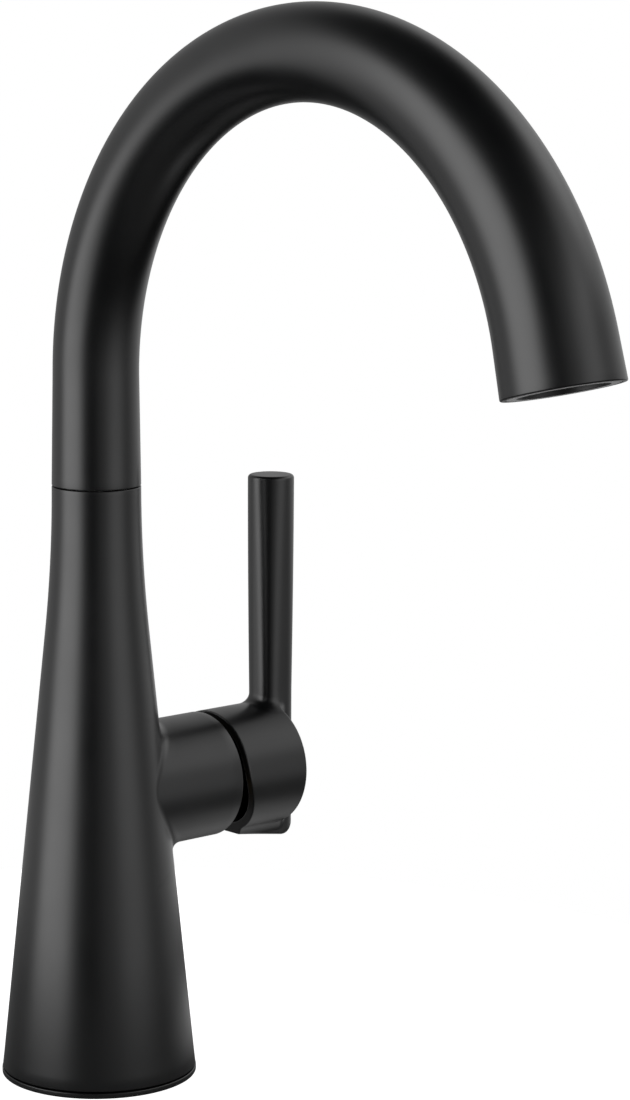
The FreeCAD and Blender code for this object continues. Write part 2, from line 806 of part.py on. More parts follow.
# ---- handle ----
def handle_stem():
    """Square stem with a ball end, hung on the pin in the sleeve."""
    ball = document.addObject("Part::Sphere", "stem_ball")
    bind(ball, Radius="ball_radius", Placement__Base__y="ball_place", Placement__Base__z="hub_height")
    neck = rod(
        "stem_neck_rod", "stem_neck", "stem_square_start - ball_place + running", y="ball_place",
        z="hub_height", way="out",
    )
    square = block(
        "stem_square", ("-stem_half", "stem_square_start", "hub_height - stem_half"),
        ("stem_half", "stem_end", "hub_height + stem_half"),
    )
    hole = rod(
        "stem_pin_hole", "pin_radius + running", "2 * stem_half", x="-stem_half", y="pivot_place",
        z="hub_height", way="across",
    )
    return cut("handle_stem", fused("stem_blank", [ball, neck, square]), [hole])


def handle_bar():
    """Upright bar across the cap's end: a rounded square at the cap that turns round towards its top."""
    bar = new_body("handle_bar")
    foot = f"(hub_height - {keel_drop(keel_end)})"
    square_top = "(hub_height + bar_square_top)"
    sections = []
    for name, height, half, corner in (
        ("bar_foot", foot, "bar_half", "bar_corner"),
        ("bar_waist", square_top, "bar_half", "bar_corner"),
        ("bar_top", "bar_top_height", "bar_top_radius", "bar_top_radius * 0.98"),
    ):
        section = sketch_on(bar, name, "XY_Plane")
        section.AttachmentOffset = FreeCAD.Placement(Vector(0, 1, 1), FreeCAD.Rotation())
        bind(section, AttachmentOffset__Base__y="bar_place", AttachmentOffset__Base__z=height)
        rounded_square(section, half, corner)
        sections.append(section)
    straight = bar.newObject("PartDesign::Pad", "bar_straight")
    straight.Profile = sections[0]
    bind(straight, Length=f"{square_top} - {foot}")
    taper = bar.newObject("PartDesign::AdditiveLoft", "bar_taper")
    taper.Profile = sections[1]
    taper.Sections = [sections[2]]
    taper.Ruled = True
    bar.Tip = taper
    document.recompute()
    top = number("bar_top_height")
    rims = [
        f"Edge{index}" for index, edge in enumerate(taper.Shape.Edges, start=1)
        if edge.BoundBox.ZMin > top - 0.01
    ]
    crown = bar.newObject("PartDesign::Fillet", "bar_crown")
    crown.Base = (taper, rims)
    bind(crown, Radius="bar_top_round")
    bar.Tip = crown
    return bar


def bar_joint_edges(shape):
    """Indices of the edges where the bar rises out of the top of the cap's rim."""
    height = number("hub_height")
    radius = number("hub_radius")
    found = []
    for index, edge in enumerate(shape.Edges, start=1):
        middle = edge.valueAt((edge.FirstParameter + edge.LastParameter) / 2)
        on_rim = abs((middle.x ** 2 + (middle.z - height) ** 2) ** 0.5 - radius) < 0.02
        on_bar = number("bar_place - bar_half - running") < middle.y < number("cap_end")
        if on_rim and on_bar and middle.z > height and abs(middle.x) < number("bar_half"):
            found.append(index)
    return found


def lever_handle():
    """Cap and bar in one casting, with a keel under the cap that holds the set screw."""
    cap = turned(
        "handle_cap",
        [
            ("0", "cap_end"), ("hub_radius", "cap_end"), ("hub_radius", "cap_start"),
            (cap_bore, "cap_start"), (cap_bore, "cap_floor"), ("boss_radius", "cap_floor"),
            ("boss_radius", "boss_start"), ("0", "boss_start"),
        ],
        on_hub_axis,
    )
    keel_top = f"(hub_height - {cap_bore} - cap_wall / 2)"
    keel = prism(
        "handle_keel",
        [
            ("keel_start", keel_top), ("keel_start", f"hub_height - {keel_drop('keel_start')}"),
            ("bar_place", f"hub_height - {keel_drop('bar_place')}"), ("bar_place", keel_top),
        ],
        "-bar_half", "bar_half",
    )
    web = rod(
        "screw_web", "screw_web_radius", f"{cap_bore} - boss_radius / 2 + cap_wall / 2",
        y="set_screw_place", z=f"hub_height - {cap_bore} - cap_wall / 2",
    )
    rough = fused("handle_rough", [cap, handle_bar(), keel, web])
    rough.Refine = True
    document.recompute()
    casting = document.addObject("Part::Fillet", "handle_casting")
    casting.Base = rough
    joint = number("bar_joint")
    casting.Edges = [(index, joint, joint) for index in bar_joint_edges(rough.Shape)]
    relief_side = "(hub_radius + cap_wall)"
    relief_reach = "(hub_radius * 2)"
    relief = prism(
        "rim_relief",
        [
            ("cap_start - cap_wall", "hub_height + relief_start"),
            ("cap_start - cap_wall", f"hub_height + relief_start - {relief_reach}"),
            (f"cap_start + {relief_reach} * tan(relief_angle * 1 deg)",
             f"hub_height + relief_start - {relief_reach}"),
            ("cap_start", "hub_height + relief_start"),
        ],
        f"-{relief_side}", relief_side,
    )
    socket_half = "(stem_half + running)"
    socket = block(
        "stem_socket", (f"-{socket_half}", "boss_start", f"hub_height - {socket_half}"),
        (socket_half, "boss_start + socket_depth", f"hub_height + {socket_half}"),
    )
    screw_hole = rod(
        "set_screw_hole", "set_screw_radius", f"{keel_drop(keel_end)}", y="set_screw_place",
        z=f"hub_height - {keel_drop(keel_end)}",
    )
    bar_foot_slope = prism(
        "bar_foot_slope",
        [
            ("bar_place - bar_half", f"hub_height - {keel_drop('bar_place - bar_half')}"),
            ("bar_place - bar_half", f"hub_height - {keel_drop(keel_end)} - cap_wall"),
            (keel_end, f"hub_height - {keel_drop(keel_end)} - cap_wall"),
            (keel_end, f"hub_height - {keel_drop(keel_end)}"),
        ],
        f"-{relief_side}", relief_side,
    )
    return cut("lever_handle", casting, [relief, socket, screw_hole, bar_foot_slope])


def handle_fixings():
    """Set screw against the stem's flat, and the plug that closes its hole."""
    tip = "(hub_height - stem_half - running)"
    screw = rod(
        "set_screw", "set_screw_radius - running", "set_screw_length", y="set_screw_place",
        z=f"{tip} - set_screw_length",
    )
    mouth = f"(hub_height - {keel_drop('set_screw_place - set_screw_radius')} + loose)"
    plug = rod(
        "screw_plug", "set_screw_radius - running", "plug_length", y="set_screw_place", z=mouth
    )
    return [screw, plug]


# ---- spout ----
BEND_STEPS = 11


def spout_stations():
    """(x, z, angle, outer radius) along the spout's centre line: the upright, the bend and the short tail.
    The tube narrows along the upright, then widens with a power of the distance from the bend's start."""
    bend_length = "(bend_radius * bend_angle * pi / 180)"
    widening_length = f"({bend_length} + spout_tail)"
    stations = []
    for share in (0, 0.5):
        height = f"({spout_bottom} + {share} * ({bend_start} - {spout_bottom}))"
        radius = f"(seam_radius + {share} * (tube_radius - seam_radius))"
        stations.append(("0", height, "0", radius))
    for step in range(BEND_STEPS + 1):
        share = f"({step} / {BEND_STEPS})"
        angle = f"(bend_angle * {share} * 1 deg)"
        travelled = f"({bend_length} * {share} / {widening_length})"
        radius = f"(tube_radius + (outlet_radius - tube_radius) * {travelled} ^ widening_power)"
        stations.append(
            (f"bend_radius * (1 - cos({angle}))", f"{bend_start} + bend_radius * sin({angle})", angle, radius)
        )
    stations.append((outlet_x, outlet_z, "(bend_angle * 1 deg)", "outlet_radius"))
    return stations


def spout_sections(body, name, wall):
    """One circle across the centre line at each station, less the wall."""
    sections = []
    for index, (x, z, angle, radius) in enumerate(spout_stations()):
        section = sketch_on(body, f"{name}_{index}", "XY_Plane")
        tilt = FreeCAD.Rotation(Vector(0, 1, 0), number(angle))
        section.AttachmentOffset = FreeCAD.Placement(Vector(number(x), 0, number(z)), tilt)
        bind(section, AttachmentOffset__Base__x=x, AttachmentOffset__Base__z=z)
        if number(angle) > 0:
            bind(section, AttachmentOffset__Rotation__Angle=angle)
        circle(section, "0", "0", f"{radius} - {wall}")
        sections.append(section)
    return sections


def spout_tube():
    """Gooseneck tube, lofted through its stations and hollow from end to end."""
    tube = new_body("spout_tube")
    outside = spout_sections(tube, "tube_outside", "0")
    skin = tube.newObject("PartDesign::AdditiveLoft", "tube_skin")
    skin.Profile = outside[0]
    skin.Sections = outside[1:]
    inside = spout_sections(tube, "tube_inside", "spout_wall")
    hollow = tube.newObject("PartDesign::SubtractiveLoft", "tube_hollow")
    hollow.Profile = inside[0]
    hollow.Sections = inside[1:]
    tube.Tip = hollow
    return tube


def swivel_pieces():
    """Post in the body's neck with its rings, and the bushing in the spout that turns on it."""
    head_top = f"({glide_start} + post_head)"

    def groove(place, depth, width):
        """The four corners of a groove round the post, from its lower edge up."""
        low = f"({glide_start} + {place} - {width} / 2)"
        high = f"({glide_start} + {place} + {width} / 2)"
        bottom = f"(post_radius - {depth})"
        return [("post_radius", low), (bottom, low), (bottom, high), ("post_radius", high)]

    ring_depth = "(2 * o_ring_section)"
    post = turned(
        "spout_post",
        [
            ("post_bore", post_tail_end), ("post_tail_radius", post_tail_end),
            ("post_tail_radius", flange_start), ("post_flange_radius", flange_start),
            ("post_flange_radius", glide_start), ("post_radius", glide_start),
            *groove("lower_o_ring", ring_depth, "o_ring_groove"),
            *groove("upper_o_ring", ring_depth, "o_ring_groove"),
            *groove("clip_place", "clip_depth", "(clip_thickness + running * 2)"),
            ("post_radius", head_top), ("post_bore", head_top),
        ],
    )
    seal = ring(
        "post_seal", "post_bore", "post_tail_radius", f"{riser_face} - riser_pocket", post_tail_end
    )
    rings = []
    for name, place in (("lower", "lower_o_ring"), ("upper", "upper_o_ring")):
        o_ring = document.addObject("Part::Torus", f"{name}_o_ring_solid")
        bind(o_ring, Radius1=f"post_radius - {ring_depth} + o_ring_section", Radius2="o_ring_section")
        bind(o_ring, Placement__Base__z=f"{glide_start} + {place}")
        rings.append(o_ring)
    glide = ring(
        "glide_ring", "post_radius + running", "post_flange_radius", glide_start,
        f"{spout_bottom} - running",
    )
    clip_low = f"({glide_start} + clip_place - clip_thickness / 2)"
    clip_high = f"({glide_start} + clip_place + clip_thickness / 2)"
    clip_outer = "(post_radius + clip_reach)"
    clip_inner = "(post_radius - clip_depth + running)"
    clip = turned(
        "retaining_ring",
        [(clip_inner, clip_low), (clip_outer, clip_low), (clip_outer, clip_high), (clip_inner, clip_high)],
        angle=330,
    )
    slot_radius = "(post_radius + clip_reach + loose)"
    bushing = turned(
        "spout_bushing",
        [
            (bushing_bore, spout_bottom), (bushing_foot_radius, spout_bottom),
            (bushing_head_radius, f"{spout_bottom} + bushing_length"),
            (bushing_bore, f"{spout_bottom} + bushing_length"), (bushing_bore, f"{clip_high} + loose"),
            (slot_radius, f"{clip_high} + loose"), (slot_radius, f"{clip_low} - loose"),
            (bushing_bore, f"{clip_low} - loose"),
        ],
    )
    return [post, seal, group("spout_o_rings", rings), glide, clip, bushing]


# ---- outlet ----
def drilled_disc(label, radius, low, thickness, hole_radius, rows):
    """A disc with rings of holes; rows gives (count, circle radius) pairs."""
    high = f"({low} + {thickness})"
    body = turned(label, [("0", low), (radius, low), (radius, high), ("0", high)])
    sketch = sketch_on(body, label + "_holes", "XY_Plane")
    sketch.AttachmentOffset = FreeCAD.Placement(Vector(0, 0, -1), FreeCAD.Rotation())
    bind(sketch, AttachmentOffset__Base__z=high)
    circle(sketch, "0", "0", hole_radius)
    for count, reach in rows:
        for index in range(count):
            sine, cosine = around(index, count)
            circle(sketch, f"{reach} * {cosine}", f"{reach} * {sine}", hole_radius)
    holes = body.newObject("PartDesign::Pocket", label + "_drilling")
    holes.Profile = sketch
    bind(holes, Length=thickness)
    body.Tip = holes
    return on_outlet_axis(body)


def outlet_pieces():
    """Threaded insert in the spout's end, with the recessed aerator stack that screws into it."""
    flange_radius = "(outlet_radius - spout_wall - insert_gap)"
    insert = turned(
        "outlet_insert",
        [
            ("mouth_radius", "0"), ("mouth_radius", "-mouth_depth"),
            ("aerator_radius + running", "-mouth_depth"),
            ("aerator_radius + running", "-insert_depth + insert_lip"),
            ("aerator_radius - aerator_wall", "-insert_depth + insert_lip"),
            ("aerator_radius - aerator_wall", "-insert_depth"), ("insert_radius", "-insert_depth"),
            ("insert_radius", "-insert_flange"), (flange_radius, "-insert_flange"), (flange_radius, "0"),
        ],
        on_outlet_axis,
    )
    core_radius = "(aerator_radius - aerator_wall)"
    washer_low = "(-insert_depth + insert_lip)"
    housing_low = f"({washer_low} + aerator_washer_thickness)"
    washer = ring("aerator_washer", core_radius, "aerator_radius", washer_low, housing_low, on_outlet_axis)
    housing = turned(
        "aerator_housing",
        [
            (core_radius, housing_low), ("aerator_radius", housing_low),
            ("aerator_radius", f"{housing_low} + aerator_length"),
            (f"{core_radius} - loose * 2", f"{housing_low} + aerator_length"),
            (f"{core_radius} - loose * 2", f"{housing_low} + aerator_length - loose"),
            (core_radius, f"{housing_low} + aerator_length - loose"),
        ],
        on_outlet_axis,
    )
    fit_radius = f"({core_radius} - running)"
    restrictor = drilled_disc(
        "flow_restrictor", fit_radius, housing_low, "restrictor_thickness", "0.8", [(6, "4.5")]
    )
    first_screen = f"({housing_low} + restrictor_thickness + screen_spacing / 2)"
    screens = [
        drilled_disc(
            f"screen_{index}", fit_radius, f"({first_screen} + {index} * screen_spacing)",
            "screen_thickness", "0.7", [(6, "2.2"), (12, "4.4"), (18, "6.6")],
        )
        for index in range(2)
    ]
    grid = drilled_disc(
        "outlet_grid", fit_radius, f"({housing_low} + aerator_length - loose - grid_thickness)",
        "grid_thickness", "0.85", [(6, "2.3"), (12, "4.6"), (18, "7.0")],
    )
    return [insert, washer, housing, restrictor, group("aerator_screens", screens), grid]


pieces = []
pieces += foot_pieces()
pieces += deck_pieces()
pieces.append(body_shell())
pieces.append(valve_body())
pieces.append(valve_lock_ring())
pieces += cartridge_fixed()
pieces += cartridge_moving()
pieces.append(handle_stem())
pieces.append(lever_handle())
pieces += handle_fixings()
pieces.append(spout_tube())
pieces += swivel_pieces()
pieces += outlet_pieces()
document.recompute()

failed = [thing.Name for thing in document.Objects if {"Invalid", "Error"} & set(thing.State)]
if failed:
    raise RuntimeError("failed to build: " + ", ".join(failed))
os.makedirs("parts", exist_ok=True)
for piece in pieces:
    if piece.Shape.isNull() or not piece.Shape.isValid():
        raise RuntimeError(piece.Label + " has no valid shape")
for piece in pieces:
    piece.Shape.exportStep(f"parts/{piece.Label}.step")
    solids = len(piece.Shape.Solids)
    print(f"{piece.Label}: {solids} solid(s), {piece.Shape.Volume:.1f} mm3")
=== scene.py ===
"""Looks of a matt black gooseneck bar faucet: smooth skins over its solids, finishes, studio and camera.

The scene is in metres, in the frame of the solids: the body's axis is Z, z = 0 is the top of the deck, the
spout points to +X and the handle's hub to +Y. Sizes are named in millimetres and scaled where a mesh or a
material is made.
"""
import json
import math
from typing import NamedTuple

import bpy
import numpy as np
from mathutils import Matrix, Vector


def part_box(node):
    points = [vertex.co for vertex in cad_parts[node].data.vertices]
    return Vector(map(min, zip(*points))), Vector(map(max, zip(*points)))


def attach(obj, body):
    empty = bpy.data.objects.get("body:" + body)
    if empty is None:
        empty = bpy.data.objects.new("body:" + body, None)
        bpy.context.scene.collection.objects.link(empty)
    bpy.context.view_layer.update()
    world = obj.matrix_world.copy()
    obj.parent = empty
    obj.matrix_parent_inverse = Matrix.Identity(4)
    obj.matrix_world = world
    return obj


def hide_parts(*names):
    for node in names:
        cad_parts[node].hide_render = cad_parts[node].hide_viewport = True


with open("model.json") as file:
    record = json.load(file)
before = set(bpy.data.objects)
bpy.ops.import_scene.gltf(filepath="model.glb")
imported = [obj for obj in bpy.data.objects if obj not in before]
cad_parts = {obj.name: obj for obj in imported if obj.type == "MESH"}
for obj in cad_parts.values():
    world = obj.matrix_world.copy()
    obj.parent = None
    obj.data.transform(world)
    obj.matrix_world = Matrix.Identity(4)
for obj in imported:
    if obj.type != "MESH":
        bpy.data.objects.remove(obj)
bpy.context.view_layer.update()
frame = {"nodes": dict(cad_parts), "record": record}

MM = 0.001
DEGREE = math.pi / 180


# ---- sizes in millimetres, read from the solids where a box gives them ----
def box_of(node):
    """Lowest and highest corner of a solid, in millimetres."""
    low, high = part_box(node)
    return np.array(low) / MM, np.array(high) / MM


shell_low, shell_high = box_of("body_shell")
ring_high = box_of("base_ring")[1]
tube_low = box_of("spout_tube")[0]
lever_low, lever_high = box_of("lever_handle")
lock_low, lock_high = box_of("valve_lock_ring")
shank_low, shank_high = box_of("mounting_shank")
nut_low, nut_high = box_of("mounting_nut")

FOOT_HEIGHT = shell_low[2]
FOOT_RADIUS = -shell_low[0]
SHELL_TOP = shell_high[2]
SHELL_WALL = 2.6
SHELL_TAPER = 0.1023
SEAM_RADIUS = 13.78
SEAM_GAP = 0.3
SEAM_HEIGHT = SHELL_TOP + SEAM_GAP / 2
SEAT_RADIUS = 11.6
SEAT_DEPTH = 3.7
NECK_BORE = 7.8
NECK_LENGTH = 18.6
FOOT_ROUND = 0.35
SHELL_TOP_ROUND = 0.25

HUB_HEIGHT = (lock_low[2] + lock_high[2]) / 2
HUB_REACH = shell_high[1]
HUB_RADIUS = lever_high[0]
HUB_BLEND = 5.0
HUB_BORE = 17.39
HUB_SMALL_BORE = 16.39
HUB_STEP = 30.0
HUB_RIM_ROUND = 0.4
WINDOW_LOW = HUB_HEIGHT - 27.2
WINDOW_HIGH = HUB_HEIGHT + 26.8
WINDOW_SIDE = 8 * DEGREE

CAP_START = lever_low[1]
CAP_END = 70.0
CAP_WALL = 2.66
CAP_FLOOR = 62.2
CAP_EDGE_ROUND = 0.6
BOSS_RADIUS = 8.5
BOSS_START = 48.0
BOSS_ROOT = 1.0
BAR_PLACE = 71.5
BAR_HALF = 6.15
BAR_SQUARENESS = 3.0
BAR_JOINT = 3.0
BAR_SQUARE_TOP = HUB_HEIGHT + 24.0
BAR_TOP = lever_high[2]
BAR_TOP_RADIUS = 7.45
BAR_TOP_ROUND = 1.2
RELIEF_START = 1.6
RELIEF_ANGLE = 18 * DEGREE
RELIEF_SOFTNESS = 3.0
RELIEF_SINK = 0.35
RIM_ROUND = 0.35
KEEL_START = 46.2
KEEL_SLOPE = 9.5 * DEGREE
KEEL_RISE = 0.3
KEEL_EDGE = 0.8
HEEL_ROUND = 5.2
UNDERSIDE_ROUND = 0.4
SCREW_PLACE = 56.0
SCREW_RADIUS = 2.5
STEM_HALF = 4.05
SOCKET_DEPTH = 12.0

SPOUT_BOTTOM = tube_low[2]
SPOUT_WALL = 1.5
TUBE_RADIUS = 13.25
UPRIGHT_LENGTH = 34.65
BEND_RADIUS = 99.0
BEND_ANGLE = 165.4 * DEGREE
SPOUT_TAIL = 13.0
SPOUT_LENGTH = UPRIGHT_LENGTH + BEND_RADIUS * BEND_ANGLE + SPOUT_TAIL
SPOUT_START_ROUND = 0.3
SPOUT_RIM_ROUND = 0.5
OUTLET_RADIUS = 17.2
WIDENING_POWER = 2.37

RING_BORE = 18.0
RING_GAP = 0.4
RING_SEAT = FOOT_RADIUS - SHELL_WALL * 3 / 4
GASKET_INNER = 22.5
GASKET_OUTER = 27.0
GASKET_THICKNESS = 0.9
SHANK_RADIUS = 16.0
SHANK_BORE = 13.4
SHANK_FLANGE = 3.0
THREAD_PITCH = 1.5
THREAD_DEPTH = 0.85
THREAD_END = -1.2
WASHER_BORE = 16.3
NUT_FLAT = 23.0
THREAD_GAP = 0.05

BEND_END_X = BEND_RADIUS * (1 - math.cos(BEND_ANGLE))
BEND_END_Z = SPOUT_BOTTOM + UPRIGHT_LENGTH + BEND_RADIUS * math.sin(BEND_ANGLE)
OUTLET_X = BEND_END_X + SPOUT_TAIL * math.sin(BEND_ANGLE)
OUTLET_Z = BEND_END_Z + SPOUT_TAIL * math.cos(BEND_ANGLE)
INSERT_GAP = 0.2
INSERT_FLANGE = 2.0
INSERT_FLANGE_RADIUS = OUTLET_RADIUS - SPOUT_WALL - INSERT_GAP
INSERT_RADIUS = 14.6
INSERT_DEPTH = 15.5
INSERT_LIP = 1.5
MOUTH_RADIUS = 12.5
MOUTH_DEPTH = 2.5
# Painted shade in the outlet's mouth reaches this radius, with a soft edge of this width.
MOUTH_SHADE_RADIUS = MOUTH_RADIUS + 0.3
MOUTH_SHADE_EDGE = 0.15
AERATOR_RADIUS = 11.9
AERATOR_WALL = 2.3
AERATOR_GAP = 0.05
AERATOR_LENGTH = 9.5
AERATOR_STEP = 0.6
AERATOR_STEP_DEPTH = 0.3
AERATOR_SEAL = 1.5
SCALLOPS = 12
SCALLOP_DEPTH = 0.5

# Columns of a turned surface, steps of a rounded corner, and the body's rows and columns at its window.
AROUND = 144
CORNER_STEPS = 5
WINDOW_ROWS = 60
WINDOW_COLUMNS = 68
REST_COLUMNS = 80

# ---- numpy surfaces: helpers ----
def unit(vectors):
    """Vectors divided by their own length."""
    return vectors / np.linalg.norm(vectors, axis=-1, keepdims=True)


def quads(index, close_rows=True, close_columns=True):
    """Faces between neighbours in a two-way table of vertex numbers, wrapped round where closed."""
    if close_rows:
        index = np.vstack([index, index[:1]])
    if close_columns:
        index = np.hstack([index, index[:, :1]])
    corners = (index[:-1, :-1], index[:-1, 1:], index[1:, 1:], index[1:, :-1])
    return np.stack(corners, axis=-1).reshape(-1, 4)


def rounded(corners, radius, steps=CORNER_STEPS):
    """Closed outline with rounded corners: each corner becomes an arc that is tangent to both of its sides,
    with the given radius, or as much of it as 0.45 of the shorter side has room for."""
    corners = np.array(corners, float)
    back = np.roll(corners, 1, axis=0) - corners
    ahead = np.roll(corners, -1, axis=0) - corners
    room = 0.45 * np.minimum(np.linalg.norm(back, axis=1), np.linalg.norm(ahead, axis=1))
    back, ahead = unit(back), unit(ahead)
    half = np.arccos(np.clip((back * ahead).sum(axis=1), -1, 1)) / 2
    half = np.minimum(half, math.pi / 2 - 1e-4)
    reach = np.minimum(radius / np.tan(half), room)
    radius = (reach * np.tan(half))[:, None]
    centre = corners + unit(back + ahead) * radius / np.sin(half)[:, None]
    start = (corners + back * reach[:, None] - centre) / radius
    end = (corners + ahead * reach[:, None] - centre) / radius
    turn = (math.pi - 2 * half)[:, None, None]
    share = np.linspace(0, 1, steps + 1)[None, :, None]
    arc = np.sin((1 - share) * turn) * start[:, None] + np.sin(share * turn) * end[:, None]
    return (centre[:, None] + radius[:, None] * arc / np.sin(turn)).reshape(-1, 2)


def turned(outline, count=AROUND):
    """Outline of (radius, height) rows spun about Z: x = r cos a, y = r sin a, z = height.
    The radius may be a table with a column for each angle. Both ways round the grid is closed."""
    angle = np.arange(count) * 2 * math.pi / count
    if isinstance(outline, tuple):
        radius, height = outline
    else:
        radius, height = outline[:, :1], outline[:, 1:]
    radius = np.broadcast_to(radius, (len(height), count))
    height = np.broadcast_to(height, (len(height), count))
    points = np.stack([radius * np.cos(angle), radius * np.sin(angle), height], axis=-1)
    index = np.arange(points.shape[0] * count).reshape(-1, count)
    return points.reshape(-1, 3), quads(index)


def along_outlet(points):
    """Turns points from the Z axis onto the outlet's axis: z = 0 is the end face, +z is the way the water
    goes."""
    x, y, z = points.T
    sine, cosine = math.sin(BEND_ANGLE), math.cos(BEND_ANGLE)
    return np.stack([OUTLET_X + x * cosine + z * sine, y, OUTLET_Z - x * sine + z * cosine], axis=-1)


def piece(name, points, faces, body, slot, replaced=(), normals=None, sharp=35 * DEGREE):
    """A mesh object from points in millimetres, facing outwards, with its finish, body and solids set."""
    mesh = bpy.data.meshes.new(name)
    mesh.vertices.add(len(points))
    mesh.vertices.foreach_set("co", (points * MM).astype(np.float32).ravel())
    mesh.loops.add(faces.size)
    mesh.loops.foreach_set("vertex_index", faces.astype(np.int32).ravel())
    mesh.polygons.add(len(faces))
    mesh.polygons.foreach_set("loop_start", np.arange(0, faces.size, faces.shape[1], dtype=np.int32))
    mesh.update(calc_edges=True)
    a, b, c = (points[faces[:, corner]] for corner in (0, 1, 2))
    d = points[faces[:, -1]]
    volume = (np.cross(b - a, c - a) * a).sum() + (np.cross(c - a, d - a) * a).sum()
    if volume < 0:
        mesh.flip_normals()
    mesh.shade_smooth()
    if normals is not None:
        mesh.normals_split_custom_set_from_vertices(normals.astype(np.float32))
    else:
        mesh.set_sharp_from_angle(angle=sharp)
    thing = bpy.data.objects.new(name, mesh)
    bpy.context.scene.collection.objects.link(thing)
    mesh.materials.append(FINISHES[slot])
    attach(thing, body)
    if replaced:
        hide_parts(*replaced)
    return thing


# ---- body shell: a turned wall with a window on the hub's side, and one patch over the hub ----
def cone_radius(height):
    """Outer radius of the body: a straight cone, then the arc tangent to it and to the upright neck."""
    knee = FOOT_HEIGHT + (FOOT_RADIUS - SEAM_RADIUS) / SHELL_TAPER
    slope = math.atan(SHELL_TAPER)
    leg = SEAM_HEIGHT - knee
    radius = leg / math.tan(slope / 2)
    start = knee - leg * math.cos(slope)
    straight = FOOT_RADIUS - SHELL_TAPER * (height - FOOT_HEIGHT)
    drop = np.clip(SEAM_HEIGHT - height, 0, SEAM_HEIGHT - start)
    arc = SEAM_RADIUS + radius - np.sqrt(radius ** 2 - drop ** 2)
    return np.where(height < start, straight, arc)


def inner_radius(height):
    """Inner radius of the body's wall, a straight cone."""
    return FOOT_RADIUS - SHELL_WALL - SHELL_TAPER * (height - FOOT_HEIGHT)


def on_cone(angle, height, radius_of):
    """Points of a surface of revolution at (angle, height)."""
    radius = radius_of(height)
    return np.stack([radius * np.cos(angle), radius * np.sin(angle), height], axis=-1)


def between(start, end, steps):
    """Rows evenly spaced on the way from start to end, without either."""
    share = np.linspace(0, 1, steps + 1)[1:-1, None]
    return start + share * (end - start)


def shell_sections():
    """Outline of the body's wall as named rows of (radius, height): up the outside from the foot, over the
    top, through the neck's seat and bore, and down the inside. Foot and top edge are quarter circles."""
    quarter = np.linspace(0, math.pi / 2, 5)
    low = np.linspace(FOOT_HEIGHT, WINDOW_LOW, 16)[1:-1]
    low = low[low > FOOT_HEIGHT + FOOT_ROUND * 2]
    window = np.linspace(WINDOW_LOW, WINDOW_HIGH, WINDOW_ROWS + 1)
    high = np.linspace(WINDOW_HIGH, SHELL_TOP, 52)[1:-1]
    high = high[high < SHELL_TOP - SHELL_TOP_ROUND * 2]
    foot_radius = FOOT_RADIUS - FOOT_ROUND + FOOT_ROUND * np.sin(quarter)
    foot = FOOT_HEIGHT + FOOT_ROUND - FOOT_ROUND * np.cos(quarter)
    top_radius = SEAM_RADIUS - SHELL_TOP_ROUND + SHELL_TOP_ROUND * np.cos(quarter)
    top = SHELL_TOP - SHELL_TOP_ROUND + SHELL_TOP_ROUND * np.sin(quarter)
    seat_floor = SHELL_TOP - SEAT_DEPTH
    neck_floor = SEAM_HEIGHT - NECK_LENGTH
    return {
        "foot": np.stack([foot_radius, foot], axis=-1),
        "outer_low": np.stack([cone_radius(low), low], axis=-1),
        "outer_window": np.stack([cone_radius(window), window], axis=-1),
        "outer_high": np.stack([cone_radius(high), high], axis=-1),
        "top": np.stack([top_radius, top], axis=-1),
        "neck": np.array([
            (SEAT_RADIUS, SHELL_TOP), (SEAT_RADIUS, seat_floor), (NECK_BORE, seat_floor),
            (NECK_BORE, neck_floor), (inner_radius(neck_floor), neck_floor),
        ]),
        "inner_window": np.stack([inner_radius(window), window], axis=-1)[::-1],
        "bottom": np.array([(inner_radius(FOOT_HEIGHT), FOOT_HEIGHT)]),
    }


def edge_of(block):
    """Vertex numbers round a block of rows, from its low corner along +angle, up, back and down."""
    return np.concatenate([block[0, :-1], block[:-1, -1], block[-1, :0:-1], block[:0:-1, 0]])


def hub_ring(around, radius, place):
    """Points round the hub's axis, at a radius and a place along it."""
    across, up_down = radius * np.cos(around), radius * np.sin(around)
    return np.stack([across, np.broadcast_to(place, around.shape), HUB_HEIGHT + up_down], axis=-1)


def rolled_joint(around):
    """Rows of the rolled joint from cone to hub, for angles round the hub. A ball of the blend's radius
    touches both: its centre lies one blend radius outside both, the touching points are its centre less
    that radius along each surface's normal, and the skin between them is the arc about the centre."""
    slope = math.atan(SHELL_TAPER)
    ball_reach = HUB_RADIUS + HUB_BLEND
    ball_x = ball_reach * np.cos(around)
    ball_z = HUB_HEIGHT + ball_reach * np.sin(around)
    ball_far = cone_radius(ball_z) + HUB_BLEND / math.cos(slope)
    ball = np.stack([ball_x, np.sqrt(ball_far ** 2 - ball_x ** 2), ball_z], axis=-1)
    cone_normal = np.stack([
        ball[:, 0] / ball_far * math.cos(slope), ball[:, 1] / ball_far * math.cos(slope),
        np.full(len(ball), math.sin(slope)),
    ], axis=-1)
    hub_normal = np.stack([np.cos(around), np.zeros(len(ball)), np.sin(around)], axis=-1)
    turn = np.arccos((cone_normal * hub_normal).sum(axis=1))[None, :, None]
    share = np.linspace(0, 1, 13)[:, None, None]
    arc = (np.sin((1 - share) * turn) * cone_normal + np.sin(share * turn) * hub_normal) / np.sin(turn)
    return ball - HUB_BLEND * arc


